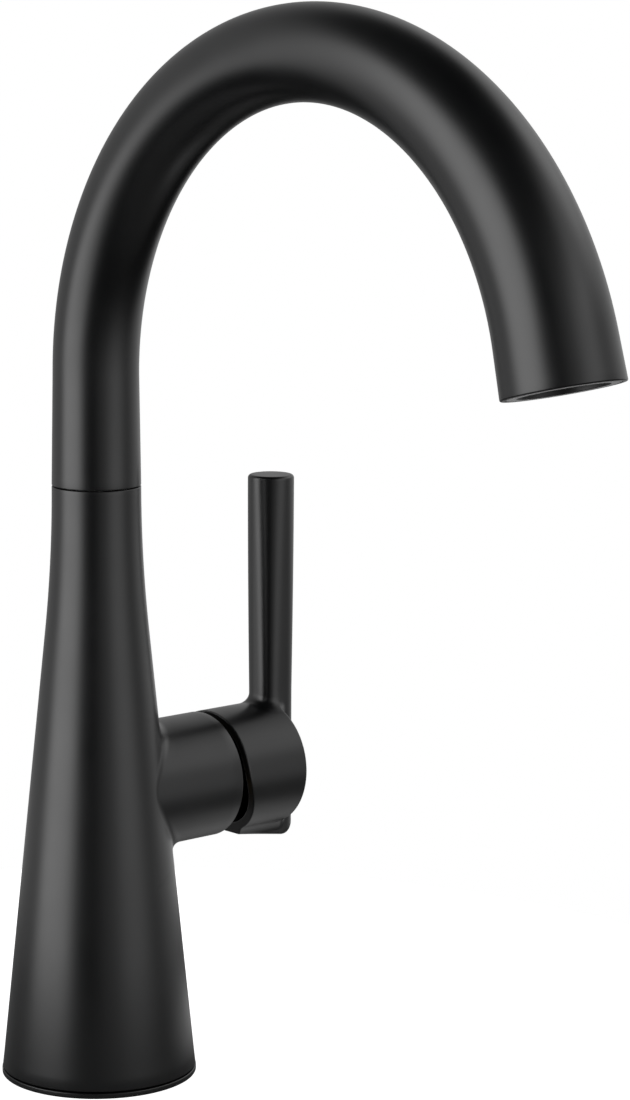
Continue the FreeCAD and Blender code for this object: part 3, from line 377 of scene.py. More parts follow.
def hub_patch(edge):
    """Rows of points from the outer window's edge to the inner one's: a skirt on the cone, the rolled
    joint, the hub's barrel, its rim as a quarter circle, its stepped bore, the bore's mouth in the inside
    wall, and a skirt on that wall. The mouth is at y = square root of (wall radius squared - x squared)."""
    edge_angle = np.arctan2(edge[:, 1], edge[:, 0])
    edge_height = edge[:, 2]
    around = np.arctan2(edge_height - HUB_HEIGHT, edge[:, 0])
    joint = rolled_joint(around)
    touch_angle = np.arctan2(joint[0, :, 1], joint[0, :, 0])
    touch_height = joint[0, :, 2]
    outer_skirt = on_cone(
        between(edge_angle, touch_angle, 8), between(edge_height, touch_height, 8), cone_radius
    )
    rim_start = HUB_REACH - HUB_RIM_ROUND
    rim_radius = HUB_RADIUS - HUB_RIM_ROUND
    barrel = [hub_ring(around, HUB_RADIUS, place) for place in between(joint[-1, :, 1], rim_start, 8)]
    quarter = np.linspace(0, math.pi / 2, 5)
    rim = [
        hub_ring(around, rim_radius + outwards, rim_start + onwards)
        for outwards, onwards in zip(HUB_RIM_ROUND * np.cos(quarter), HUB_RIM_ROUND * np.sin(quarter))
    ]
    bore = [
        hub_ring(around, radius, place)
        for radius, place in ((HUB_BORE, HUB_REACH), (HUB_BORE, HUB_STEP), (HUB_SMALL_BORE, HUB_STEP))
    ]
    mouth_x = HUB_SMALL_BORE * np.cos(around)
    mouth_z = HUB_HEIGHT + HUB_SMALL_BORE * np.sin(around)
    mouth = np.stack([mouth_x, np.sqrt(inner_radius(mouth_z) ** 2 - mouth_x ** 2), mouth_z], axis=-1)
    mouth_angle = np.arctan2(mouth[:, 1], mouth[:, 0])
    inner_skirt = on_cone(
        between(mouth_angle, edge_angle, 5), between(mouth_z, edge_height, 5), inner_radius
    )
    return np.concatenate([outer_skirt, joint, barrel, rim, bore, mouth[None], inner_skirt])


def body_shell():
    """The body's wall, with a window cut out of its outside and its inside, and the hub's patch between the
    two windows, as one closed skin: x = r cos a, y = r sin a on the wall."""
    sections = shell_sections()
    starts = dict(zip(sections, np.cumsum([0] + [len(rows) for rows in sections.values()])))
    outline = np.concatenate(list(sections.values()))
    window_angle = np.linspace(WINDOW_SIDE, math.pi - WINDOW_SIDE, WINDOW_COLUMNS + 1)
    rest_angle = np.linspace(math.pi - WINDOW_SIDE, 2 * math.pi + WINDOW_SIDE, REST_COLUMNS + 1)[1:-1]
    angle = np.concatenate([window_angle, rest_angle])
    points = np.stack([
        outline[:, :1] * np.cos(angle), outline[:, :1] * np.sin(angle),
        np.broadcast_to(outline[:, 1:], (len(outline), len(angle))),
    ], axis=-1).reshape(-1, 3)
    index = np.arange(len(points)).reshape(-1, len(angle))
    outer = index[starts["outer_window"]:][:WINDOW_ROWS + 1, :WINDOW_COLUMNS + 1]
    inner = index[starts["inner_window"]:][:WINDOW_ROWS + 1, :WINDOW_COLUMNS + 1]
    kept = np.ones(len(points), bool)
    for window in (outer, inner):
        kept[window[:-1, :-1]] = False
    wall = quads(index)[kept]
    patch = hub_patch(points[edge_of(outer)])
    patch_index = len(points) + np.arange(patch[..., 0].size).reshape(patch.shape[:2])
    patch_index = np.vstack([edge_of(outer), patch_index, edge_of(inner[::-1])])
    points = np.concatenate([points, patch.reshape(-1, 3)])
    faces = np.concatenate([wall, quads(patch_index, close_rows=False)])
    return piece("body_skin", points, faces, "faucet_body", "black_finish", ["body_shell"])


# ---- spout ----
def spout_line(travelled):
    """(x, z, lean) of the spout's centre line: straight up, round the bend's arc, then the short tail."""
    in_bend = np.clip(travelled - UPRIGHT_LENGTH, 0, BEND_RADIUS * BEND_ANGLE)
    upright = np.minimum(travelled, UPRIGHT_LENGTH)
    after = np.maximum(travelled - UPRIGHT_LENGTH - BEND_RADIUS * BEND_ANGLE, 0)
    lean = in_bend / BEND_RADIUS
    x = BEND_RADIUS * (1 - np.cos(lean)) + after * np.sin(lean)
    z = SPOUT_BOTTOM + upright + BEND_RADIUS * np.sin(lean) + after * np.cos(lean)
    return x, z, lean


def spout_radius(travelled):
    """The tube narrows evenly along the upright, then widens as a power of the way round the bend."""
    widening = BEND_RADIUS * BEND_ANGLE + SPOUT_TAIL
    share = np.clip((travelled - UPRIGHT_LENGTH) / widening, 0, 1)
    wide = TUBE_RADIUS + (OUTLET_RADIUS - TUBE_RADIUS) * share ** WIDENING_POWER
    upright = np.minimum(travelled / UPRIGHT_LENGTH, 1)
    return wide + (SEAM_RADIUS - TUBE_RADIUS) * (1 - upright)


def spout_tube():
    """Circles across the centre line: centre + r cos a along the bend's outward side + r sin a along Y.
    The rows run up the outside, round the rim and back down the inside, so the skin is closed."""
    outside_rows, inside_rows = 168, 119
    start, rim = SPOUT_START_ROUND, SPOUT_RIM_ROUND
    quarter = np.linspace(0, math.pi / 2, 6)
    outside = np.linspace(start, SPOUT_LENGTH - rim, outside_rows + 2)[1:-1]
    inside = np.linspace(SPOUT_LENGTH, 0, inside_rows + 1)[1:]
    rows = [
        (start * (1 - np.cos(quarter)), -start + start * np.sin(quarter)),
        (outside, np.zeros(outside_rows)),
        (SPOUT_LENGTH - rim + rim * np.sin(quarter), -rim + rim * np.cos(quarter)),
        (np.array([SPOUT_LENGTH]), np.array([-SPOUT_WALL])),
        (inside, np.full(inside_rows, -SPOUT_WALL)),
    ]
    travelled = np.concatenate([row[0] for row in rows])
    radius = (spout_radius(travelled) + np.concatenate([row[1] for row in rows]))[:, None]
    x, z, lean = (part[:, None] for part in spout_line(travelled))
    angle = np.arange(AROUND) * 2 * math.pi / AROUND
    side = radius * np.cos(angle)
    y = radius * np.sin(angle)
    points = np.stack([x + side * np.cos(lean), y, z - side * np.sin(lean)], axis=-1)
    index = np.arange(y.size).reshape(y.shape)
    return piece("spout_skin", points.reshape(-1, 3), quads(index), "spout", "black_finish", ["spout_tube"])


# ---- handle: one skin at distance zero from a sum of simple forms ----
def round_union(a, b, radius):
    """Distance to two forms together, with the corner between them filled by an arc of the radius."""
    inside = np.hypot(np.maximum(radius - a, 0), np.maximum(radius - b, 0))
    return np.maximum(radius, np.minimum(a, b)) - inside


def round_common(a, b, radius):
    """Distance to what two forms have in common, with the edge between them rounded to the radius."""
    outside = np.hypot(np.maximum(radius + a, 0), np.maximum(radius + b, 0))
    return np.minimum(-radius, np.maximum(a, b)) + outside


def superellipse(x, y, half, power):
    """Distance to a bar along Z: (|x|^p + |y|^p)^(1/p) - half. It is round for p = 2 and squarer above."""
    return (np.abs(x) ** power + np.abs(y) ** power) ** (1 / power) - half


def bar_distance(x, y, z, underside):
    """Distance to the upright bar, squarish below and round at its top, together with the keel: the same
    section drawn along the cap's underside from the bar to the rim."""
    bar_top = BAR_TOP - HUB_HEIGHT
    square_top = BAR_SQUARE_TOP - HUB_HEIGHT
    rise = np.clip((z - square_top) / (bar_top - square_top), 0, 1)
    half = BAR_HALF + (BAR_TOP_RADIUS - BAR_HALF) * rise
    bar = superellipse(x, y - BAR_PLACE, half, BAR_SQUARENESS + (2 - BAR_SQUARENESS) * rise)
    bar = round_common(bar, z - bar_top, BAR_TOP_ROUND)
    past = np.maximum(y - BAR_PLACE, 0)
    heel = np.clip(past / BAR_HALF, 0, 1)
    keel = superellipse(x, past, BAR_HALF, BAR_SQUARENESS)
    keel = round_common(keel, underside, KEEL_EDGE + (HEEL_ROUND - KEEL_EDGE) * heel)
    keel = np.maximum(keel, np.maximum(KEEL_START - y, z + HUB_RADIUS - CAP_WALL))
    return np.minimum(round_common(bar, underside, HEEL_ROUND), keel)


def hollow_distance(x, y, z, radial):
    """Distance to the space inside the cap, less the stem's boss and the web round the set screw."""
    bore = np.maximum(radial - (HUB_RADIUS - CAP_WALL), y - CAP_FLOOR)
    boss = np.maximum(radial - BOSS_RADIUS, np.maximum(BOSS_START - y, y - CAP_FLOOR - BOSS_ROOT))
    web = np.maximum(np.hypot(x, y - SCREW_PLACE) - 2 * SCREW_RADIUS, np.maximum(z, -z - HUB_RADIUS))
    return np.maximum(bore, -np.minimum(boss, web))


def handle_distance(x, y, z):
    """Distance from the handle's surface, negative inside; z counts from the hub's axis.
    Cap and bar are joined with a filled corner; underside, rim relief, hollow, stem socket and screw hole
    are taken away. Below the height where the relief starts the rim leans back by the relief's angle."""
    radial = np.hypot(x, z)
    cap = round_common(radial - HUB_RADIUS, y - CAP_END, CAP_EDGE_ROUND)
    keel_line = KEEL_RISE - HUB_RADIUS - (y - KEEL_START) * math.tan(KEEL_SLOPE)
    underside = (keel_line - z) * math.cos(KEEL_SLOPE)
    casting = round_union(cap, bar_distance(x, y, z, underside), BAR_JOINT)
    casting = round_common(casting, underside, UNDERSIDE_ROUND)
    fall = RELIEF_START - z
    fall = (fall + np.hypot(fall, RELIEF_SOFTNESS)) / 2 - RELIEF_SINK
    rim = (CAP_START + np.maximum(fall, 0) * math.tan(RELIEF_ANGLE) - y) * math.cos(RELIEF_ANGLE)
    casting = round_common(casting, rim, RIM_ROUND)
    casting = round_common(casting, -hollow_distance(x, y, z, radial), RIM_ROUND)
    socket = np.maximum(np.maximum(np.abs(x), np.abs(z)) - STEM_HALF, y - BOSS_START - SOCKET_DEPTH)
    casting = np.maximum(casting, -socket)
    screw_hole = np.maximum(np.hypot(x, y - SCREW_PLACE) - SCREW_RADIUS, z)
    return np.maximum(casting, -screw_hole)


def gradient(distance, at, step=0.02):
    """Slope of a distance function at points, from a small step each way."""
    shifts = np.eye(3) * step
    return np.stack([
        (distance(*(at + shift).T) - distance(*(at - shift).T)) / (2 * step) for shift in shifts
    ], axis=-1)


def surface_net(distance, xs, ys, zs, freedom=0.75, rounds=8):
    """Closed skin where a distance function is zero. Space is cut into cells; each cell that the surface
    crosses gets one vertex, moved along the slope onto the surface, and each cell edge that it crosses gets
    one quad between the four cells round it. A vertex moves in rounds, no further from its cell's middle
    than the freedom's share of the cell."""
    inside = distance(xs[:, None, None], ys[None, :, None], zs[None, None, :]) < 0
    corner_count = sum(
        inside[i:len(xs) - 1 + i, j:len(ys) - 1 + j, k:len(zs) - 1 + k].astype(np.int8)
        for i in (0, 1) for j in (0, 1) for k in (0, 1)
    )
    crossed = (corner_count > 0) & (corner_count < 8)
    number = np.full(crossed.shape, -1)
    number[crossed] = np.arange(crossed.sum())
    centres = [(line[1:] + line[:-1]) / 2 for line in (xs, ys, zs)]
    sizes = [np.diff(line) for line in (xs, ys, zs)]
    cells = np.nonzero(crossed)
    start = np.stack([centre[cell] for centre, cell in zip(centres, cells)], axis=-1)
    room = np.stack([size[cell] for size, cell in zip(sizes, cells)], axis=-1) * freedom
    points = start.copy()
    for _ in range(rounds):
        slope = gradient(distance, points)
        steepness = np.maximum((slope ** 2).sum(axis=1, keepdims=True), 0.2)
        points = points - slope * (distance(*points.T)[:, None] / steepness)
        points = start + np.clip(points - start, -room, room)
    faces = []
    for axis in range(3):
        first = np.moveaxis(inside, axis, 0)
        table = np.moveaxis(number, axis, 0)
        change = first[1:, 1:-1, 1:-1] != first[:-1, 1:-1, 1:-1]
        leaving = first[:-1, 1:-1, 1:-1][change]
        ring = [table[:, :-1, :-1], table[:, 1:, :-1], table[:, 1:, 1:], table[:, :-1, 1:]]
        quad = np.stack([side[change] for side in ring], axis=-1)
        # With Y in front, the other two axes are in mirrored order.
        forwards = leaving if axis != 1 else ~leaving
        quad[~forwards] = quad[~forwards][:, ::-1]
        faces.append(quad)
    return points, np.concatenate(faces)


def lever_handle():
    """The handle's skin, in fine cells round the cap, long ones up the bar and fine ones at its top. The
    margins also keep the cells' corners out of the handle's flat faces."""
    cap_cell, cap_cell_along, bar_cell, top_cell = 0.42, 0.38, 1.2, 0.27
    side_margin, rim_margin, heel_margin, end_margin = 1.1, 0.95, 1.17, 1.2
    fine_above_cap, fine_below_top = 6, 2.2
    low_z = lever_low[2] - HUB_HEIGHT
    top_z = BAR_TOP - HUB_HEIGHT
    xs = np.arange(-HUB_RADIUS - side_margin, HUB_RADIUS + end_margin, cap_cell)
    ys = np.arange(CAP_START - rim_margin, lever_high[1] + end_margin, cap_cell_along)
    cap_zs = np.arange(low_z - heel_margin, HUB_RADIUS + fine_above_cap, cap_cell)
    bar_zs = np.arange(cap_zs[-1] + 1.0, top_z - fine_below_top, bar_cell)
    top_zs = np.arange(bar_zs[-1] + 0.3, top_z + side_margin, top_cell)
    points, faces = surface_net(handle_distance, xs, ys, np.concatenate([cap_zs, bar_zs, top_zs]))
    normals = unit(gradient(handle_distance, points))
    points = points + (0, 0, HUB_HEIGHT)
    return piece("handle_skin", points, faces, "handle", "black_finish", ["lever_handle"], normals)


# ---- effects: shader node groups with named inputs and outputs ----
def new_group(name, inputs, outputs):
    """An empty node group; inputs and outputs are (name, kind, value) rows."""
    group = bpy.data.node_groups.new(name, "ShaderNodeTree")
    kinds = {"value": "NodeSocketFloat", "vector": "NodeSocketVector"}
    for socket_name, kind, value in inputs:
        socket = group.interface.new_socket(socket_name, in_out="INPUT", socket_type=kinds[kind])
        if value is not None:
            socket.default_value = value
    for socket_name, kind, _ in outputs:
        group.interface.new_socket(socket_name, in_out="OUTPUT", socket_type=kinds[kind])
    return group, group.nodes.new("NodeGroupInput"), group.nodes.new("NodeGroupOutput")


def linked(tree, kind, **inputs):
    """A node of the kind; each input is a value or another node's output. Underscores stand for spaces, and
    i0, i1 and i2 for the inputs in order."""
    node = tree.nodes.new(kind)
    for name, value in inputs.items():
        socket = node.inputs[int(name[1:]) if name[1:].isdigit() else name.replace("_", " ")]
        if isinstance(value, bpy.types.NodeSocket):
            tree.links.new(value, socket)
        else:
            socket.default_value = value
    return node


def maths(tree, operation, first, second=0.0, third=0.0):
    """A calculation with up to three values."""
    node = linked(tree, "ShaderNodeMath", i0=first, i1=second, i2=third)
    node.operation = operation
    return node.outputs[0]


def vector_maths(tree, operation, first, second=(0.0, 0.0, 0.0), output="Vector"):
    """A calculation with vectors. Its result is a vector, or a value with the output Value."""
    node = linked(tree, "ShaderNodeVectorMath", i0=first, i1=second)
    node.operation = operation
    return node.outputs[output]


def spread(tree, value, from_low, from_high, to_low, to_high):
    """A value's range carried onto another range, clamped."""
    node = linked(
        tree, "ShaderNodeMapRange", Value=value, From_Min=from_low, From_Max=from_high, To_Min=to_low,
        To_Max=to_high,
    )
    return node.outputs["Result"]


def noise(tree, vector, scale, detail, roughness=0.5):
    """Soft random cloud, about 0.5 on average."""
    node = linked(
        tree, "ShaderNodeTexNoise", Vector=vector, Scale=scale, Detail=detail, Roughness=roughness
    )
    return node.outputs["Fac"]


def mixed(tree, share, first, second):
    """Two colours mixed by a share."""
    node = tree.nodes.new("ShaderNodeMix")
    node.data_type = "RGBA"
    for socket, value in ((node.inputs[0], share), (node.inputs[6], first), (node.inputs[7], second)):
        if isinstance(value, bpy.types.NodeSocket):
            tree.links.new(value, socket)
        else:
            socket.default_value = value
    return node.outputs[2]


def sprayed_coat_group():
    """Sprayed coat: fine grain, a long soft ripple, and cloudy patches in gloss and shade."""
    group, given, result = new_group(
        "sprayed_coat",
        [("Vector", "vector", None), ("Grain Scale", "value", 2600.0), ("Ripple Scale", "value", 240.0),
         ("Cloud Scale", "value", 38.0), ("Roughness Low", "value", 0.3),
         ("Roughness High", "value", 0.36)],
        [("Roughness", "value", None), ("Grain Height", "value", None), ("Shade", "value", None)],
    )
    put = given.outputs
    grain = noise(group, put["Vector"], put["Grain Scale"], 2.0, 0.6)
    ripple = noise(group, put["Vector"], put["Ripple Scale"], 1.0)
    cloud = noise(group, put["Vector"], put["Cloud Scale"], 4.0, 0.55)
    gloss = maths(group, "MULTIPLY_ADD", grain, 0.25, cloud)
    rough = spread(group, gloss, 0.4, 0.85, put["Roughness Low"], put["Roughness High"])
    height = maths(group, "MULTIPLY_ADD", ripple, 1.6, grain)
    group.links.new(rough, result.inputs["Roughness"])
    group.links.new(height, result.inputs["Grain Height"])
    group.links.new(spread(group, cloud, 0.3, 0.7, 0.0, 1.0), result.inputs["Shade"])
    return group


def tool_marks_group():
    """Turned or drawn metal: fine lines across Z, wavering a little, with soft stains between them."""
    group, given, result = new_group(
        "tool_marks",
        [("Vector", "vector", None), ("Line Scale", "value", 900.0), ("Stain Scale", "value", 60.0),
         ("Roughness Low", "value", 0.22), ("Roughness High", "value", 0.42)],
        [("Roughness", "value", None), ("Line Height", "value", None), ("Shade", "value", None)],
    )
    put = given.outputs
    stretched = vector_maths(group, "MULTIPLY", put["Vector"], (0.12, 0.12, 1.0))
    lines = noise(group, stretched, put["Line Scale"], 3.0, 0.7)
    stain = noise(group, put["Vector"], put["Stain Scale"], 4.0)
    both = maths(group, "MULTIPLY_ADD", lines, 0.6, stain)
    rough = spread(group, both, 0.5, 1.1, put["Roughness Low"], put["Roughness High"])
    group.links.new(rough, result.inputs["Roughness"])
    group.links.new(lines, result.inputs["Line Height"])
    group.links.new(spread(group, stain, 0.3, 0.7, 0.0, 1.0), result.inputs["Shade"])
    return group


def moulded_group():
    """Moulded plastic or rubber: an even fine texture from the mould and faint flow patches."""
    group, given, result = new_group(
        "moulded",
        [("Vector", "vector", None), ("Texture Scale", "value", 1800.0), ("Flow Scale", "value", 90.0),
         ("Roughness Low", "value", 0.4), ("Roughness High", "value", 0.55)],
        [("Roughness", "value", None), ("Texture Height", "value", None), ("Shade", "value", None)],
    )
    put = given.outputs
    texture = noise(group, put["Vector"], put["Texture Scale"], 2.0)
    flow = noise(group, put["Vector"], put["Flow Scale"], 3.0)
    rough = spread(group, flow, 0.3, 0.7, put["Roughness Low"], put["Roughness High"])
    group.links.new(rough, result.inputs["Roughness"])
    group.links.new(texture, result.inputs["Texture Height"])
    group.links.new(spread(group, flow, 0.3, 0.7, 0.0, 1.0), result.inputs["Shade"])
    return group


def finish_of(name, group, height_name, light, dark, bump, depth, metallic=0.0, coat=0.0, **settings):
    """A material: one effect group drives colour between two close tones, roughness and bump."""
    material = bpy.data.materials.new(name)
    material.use_nodes = True
    tree = material.node_tree
    shader = tree.nodes["Principled BSDF"]
    shader.inputs["Metallic"].default_value = metallic
    shader.inputs["Coat Weight"].default_value = coat
    place = tree.nodes.new("ShaderNodeTexCoord")
    effect = tree.nodes.new("ShaderNodeGroup")
    effect.node_tree = group
    effect.name = group.name
    tree.links.new(place.outputs["Object"], effect.inputs["Vector"])
    for setting, value in settings.items():
        effect.inputs[setting.replace("_", " ")].default_value = value
    colour = mixed(tree, effect.outputs["Shade"], (*dark, 1), (*light, 1))
    tree.links.new(colour, shader.inputs["Base Color"])
    tree.links.new(effect.outputs["Roughness"], shader.inputs["Roughness"])
    relief = linked(
        tree, "ShaderNodeBump", Height=effect.outputs[height_name], Strength=bump, Distance=depth
    )
    tree.links.new(relief.outputs["Normal"], shader.inputs["Normal"])
    return material


def make_finishes():
    """One material for each finish slot of the record."""
    sprayed = sprayed_coat_group()
    marks = tool_marks_group()
    moulded = moulded_group()
    micron = 1e-6
    return {
        "black_finish": finish_of(
            "matt_black_finish", sprayed, "Grain Height", (0.0028, 0.0030, 0.0033),
            (0.0022, 0.0024, 0.0027), 0.12, 12 * micron,
        ),
        "brass": finish_of(
            "turned_brass", marks, "Line Height", (0.78, 0.58, 0.27), (0.62, 0.44, 0.19), 0.25, 20 * micron,
            metallic=1.0,
        ),
        "steel": finish_of(
            "zinc_plated_steel", marks, "Line Height", (0.62, 0.62, 0.60), (0.48, 0.48, 0.47), 0.2,
            20 * micron, metallic=1.0, Roughness_Low=0.28, Roughness_High=0.45,
        ),
        "rubber": finish_of(
            "black_rubber", moulded, "Texture Height", (0.028, 0.028, 0.029), (0.018, 0.018, 0.019), 0.4,
            40 * micron, Roughness_Low=0.6, Roughness_High=0.75,
        ),
        "ceramic": finish_of(
            "white_ceramic", moulded, "Texture Height", (0.82, 0.81, 0.78), (0.76, 0.75, 0.72), 0.05,
            10 * micron, coat=0.3, Roughness_Low=0.12, Roughness_High=0.2,
        ),
        "white_plastic": finish_of(
            "white_acetal", moulded, "Texture Height", (0.78, 0.78, 0.75), (0.70, 0.70, 0.67), 0.2,
            30 * micron, Roughness_Low=0.32, Roughness_High=0.45,
        ),
        "grey_plastic": finish_of(
            "grey_acetal", moulded, "Texture Height", (0.30, 0.31, 0.32), (0.24, 0.25, 0.26), 0.2,
            30 * micron,
        ),
        "black_plastic": finish_of(
            "black_nylon", moulded, "Texture Height", (0.024, 0.024, 0.025), (0.015, 0.015, 0.016), 0.3,
            40 * micron, Roughness_Low=0.45, Roughness_High=0.6,
        ),
        "light_metal": finish_of(
            "blasted_light_metal", marks, "Line Height", (0.90, 0.90, 0.91), (0.78, 0.78, 0.79), 0.3,
            20 * micron, metallic=1.0, Roughness_Low=0.35, Roughness_High=0.5,
        ),
    }


def paint_mouth_shade(material):
    """Painted shade: the outlet's mouth is painted black inside, standing in for the shade deep in the
    mouth, where the distance from its axis, the length of the cross product with the axis, is less than the
    mouth's radius."""
    tree = material.node_tree
    shader = tree.nodes["Principled BSDF"]
    centre, ahead = along_outlet(np.array([(0, 0, 0), (0, 0, 1)]))
    place = tree.nodes.new("ShaderNodeTexCoord").outputs["Object"]
    from_centre = vector_maths(tree, "SUBTRACT", place, tuple(centre * MM))
    aside = vector_maths(tree, "CROSS_PRODUCT", from_centre, tuple(ahead - centre))
    distance = vector_maths(tree, "LENGTH", aside, output="Value")
    # Painted shade: 1 on the mouth's wall, 0 on the flange.
    painted_shade = spread(tree, distance, MOUTH_SHADE_RADIUS * MM, (MOUTH_SHADE_RADIUS - MOUTH_SHADE_EDGE) * MM, 0.0, 1.0)
    bare = shader.inputs["Base Color"].links[0].from_socket
    tree.links.new(mixed(tree, painted_shade, bare, (0.004, 0.004, 0.004, 1)), shader.inputs["Base Color"])
    tree.links.new(maths(tree, "SUBTRACT", 1.0, painted_shade), shader.inputs["Metallic"])


# ---- foot and deck fixing ----
def base_ring():
    """Trim ring under the body: flat underside with the gasket's groove, rounded rim and raised seat."""
    ring_radius = ring_high[0]
    rim_height = FOOT_HEIGHT - RING_GAP
    outline = rounded([
        (RING_BORE, 0), (GASKET_INNER, 0), (GASKET_INNER, GASKET_THICKNESS),
        (GASKET_OUTER, GASKET_THICKNESS), (GASKET_OUTER, 0), (ring_radius, 0), (ring_radius, rim_height),
        (RING_SEAT, rim_height), (RING_SEAT, FOOT_HEIGHT), (RING_BORE, FOOT_HEIGHT),
    ], 0.3)
    return piece("base_ring_skin", *turned(outline), "faucet_body", "black_finish", ["base_ring"])


def deck_gasket():
    """Soft gasket in the ring's groove, with slightly crowned edges."""
    outline = rounded([
        (GASKET_INNER, 0), (GASKET_OUTER, 0), (GASKET_OUTER, GASKET_THICKNESS),
        (GASKET_INNER, GASKET_THICKNESS),
    ], 0.3)
    return piece("gasket_skin", *turned(outline), "faucet_body", "rubber", ["deck_gasket"])


def washer(name, node, slot, softness):
    """A flat washer with rounded edges, as wide and thick as its solid."""
    low, high = box_of(node)
    outline = rounded([
        (WASHER_BORE, low[2]), (high[0], low[2]), (high[0], high[2]), (WASHER_BORE, high[2])
    ], softness)
    return piece(name, *turned(outline), "faucet_body", slot, [node])


def mounting_shank():
    """Threaded tube. Along the thread the radius is the crest's, less a V-groove of 60 degrees whose middle
    lies where (height / pitch - angle / full turn) is a whole number and a half. It fades out over one turn
    at each end."""
    columns, rows_per_turn = 96, 12
    chamfer, bore_chamfer, crest_gap = 0.6, 0.3, 0.2
    bottom, top = shank_low[2], shank_high[2]
    flange_radius, plate_top = shank_high[0], shank_high[2] - SHANK_FLANGE
    thread_low, thread_high = bottom + chamfer, THREAD_END
    count = int((thread_high - thread_low) / THREAD_PITCH * rows_per_turn)
    height = np.linspace(thread_low, thread_high, count)[:, None]
    angle = np.arange(columns) / columns
    from_middle = np.abs((height / THREAD_PITCH - angle) % 1 - 0.5) * THREAD_PITCH
    groove = THREAD_DEPTH - from_middle / math.tan(30 * DEGREE)
    ends = np.minimum(height - thread_low, thread_high - height) / THREAD_PITCH
    thread = SHANK_RADIUS - np.maximum(groove, 0) * np.clip(ends, 0, 1)
    below = np.array([
        (SHANK_BORE, bottom + bore_chamfer), (SHANK_BORE + bore_chamfer, bottom),
        (SHANK_RADIUS - chamfer, bottom),
    ])
    # The arcs of the first and last corner are dropped: the thread and the bore take their place.
    corner = CORNER_STEPS + 1
    above = rounded([
        (SHANK_RADIUS, thread_high + crest_gap), (SHANK_RADIUS, plate_top), (flange_radius, plate_top),
        (flange_radius, top), (SHANK_BORE, top),
    ], 0.25)[corner:-corner]
    radius = np.concatenate([
        np.repeat(below[:, :1], columns, axis=1), thread, np.repeat(above[:, :1], columns, axis=1),
        np.full((1, columns), SHANK_BORE),
    ])
    heights = np.concatenate([below[:, 1:], height, above[:, 1:], [[top]]])
    points, faces = turned((radius, heights), columns)
    return piece("shank_thread", points, faces, "faucet_body", "brass", ["mounting_shank"])


def mounting_nut():
    """Six-sided nut. The radius is flat / cos(angle from the nearest flat's middle), and near each face it
    is held to a cone, which cuts the usual curved chamfer."""
    chamfer_start, chamfer_angle = NUT_FLAT - 0.4, 60 * DEGREE
    chamfer_end, flank_start = 1.6, 3.0
    bore_chamfer, bore_chamfer_depth = 0.6, 0.5
    angle = np.arange(AROUND) * 2 * math.pi / AROUND
    side = NUT_FLAT / np.cos(angle % (math.pi / 3) - math.pi / 6)
    corner = NUT_FLAT / math.cos(math.pi / 6)
    low, high = nut_low[2], nut_high[2]
    rise = np.concatenate([np.linspace(0, chamfer_end, 9), [flank_start]])
    reach = chamfer_start + np.concatenate([rise, rise[::-1]]) * math.tan(chamfer_angle)
    outer = np.minimum(side, np.minimum(reach, corner)[:, None])
    bore = SHANK_RADIUS + THREAD_GAP
    mouth = bore + bore_chamfer
    inner = np.repeat([[mouth], [bore], [bore], [mouth]], AROUND, axis=1)
    height = np.concatenate([
        low + rise, (high - rise)[::-1], [high, high - bore_chamfer_depth, low + bore_chamfer_depth, low]
    ])
    points, faces = turned((np.concatenate([outer, inner]), height[:, None]))
    return piece("nut_skin", points, faces, "faucet_body", "brass", ["mounting_nut"], sharp=28 * DEGREE)


# ---- outlet ----
def outlet_ring():
    """Insert in the spout's end: flange flush with the rim, mouth, and the aerator's seat."""
    inner, seat = AERATOR_RADIUS + AERATOR_GAP, INSERT_DEPTH - INSERT_LIP
    lip = AERATOR_RADIUS - AERATOR_WALL
    outline = rounded([
        (MOUTH_RADIUS, 0), (MOUTH_RADIUS, -MOUTH_DEPTH), (inner, -MOUTH_DEPTH), (inner, -seat),
        (lip, -seat), (lip, -INSERT_DEPTH), (INSERT_RADIUS, -INSERT_DEPTH), (INSERT_RADIUS, -INSERT_FLANGE),
        (INSERT_FLANGE_RADIUS, -INSERT_FLANGE), (INSERT_FLANGE_RADIUS, 0),
    ], 0.25)
    points, faces = turned(outline)
    return piece("outlet_ring", along_outlet(points), faces, "spout", "light_metal", ["outlet_insert"])


def aerator_cup():
    """Aerator housing: a cup whose front edge has scallops, so that fingers or a key can turn it. Their
    depth follows cos(scallops x angle), cut off to flat floors and flat tops."""
    core = AERATOR_RADIUS - AERATOR_WALL
    step = core - AERATOR_STEP
    back = INSERT_LIP - INSERT_DEPTH + AERATOR_SEAL
    front = back + AERATOR_LENGTH
    step_floor = front - AERATOR_STEP_DEPTH
    outline = rounded([
        (core, back), (AERATOR_RADIUS, back), (AERATOR_RADIUS, front), (step, front), (step, step_floor),
        (core, step_floor),
    ], 0.2)
    points, faces = turned(outline)
    angle = np.arctan2(points[:, 1], points[:, 0])
    radial = np.hypot(points[:, 0], points[:, 1])
    scallop = np.clip((np.cos(SCALLOPS * angle) - 0.2) * 2, 0, 1)
    on_face = (points[:, 2] > front - 0.25) & (radial > core + 0.4)
    points[:, 2] -= np.where(on_face, SCALLOP_DEPTH * scallop, 0)
    return piece("aerator_cup", along_outlet(points), faces, "spout", "grey_plastic", ["aerator_housing"])


# ---- finishes for every solid, then the skins ----
FINISHES = make_finishes()
# Painted shade inside the outlet's mouth, in the light metal's material.
paint_mouth_shade(FINISHES["light_metal"])
slot_of = {row["node"]: row["material_slot"] for row in frame["record"]["subparts"]}
for node_name, thing in frame["nodes"].items():
    thing.data.materials.clear()
    thing.data.materials.append(FINISHES[slot_of[node_name]])

base_ring()
deck_gasket()
washer("rubber_washer_skin", "rubber_washer", "rubber", 0.6)
washer("metal_washer_skin", "metal_washer", "steel", 0.3)
mounting_shank()
mounting_nut()
body_shell()
spout_tube()
lever_handle()
outlet_ring()
aerator_cup()


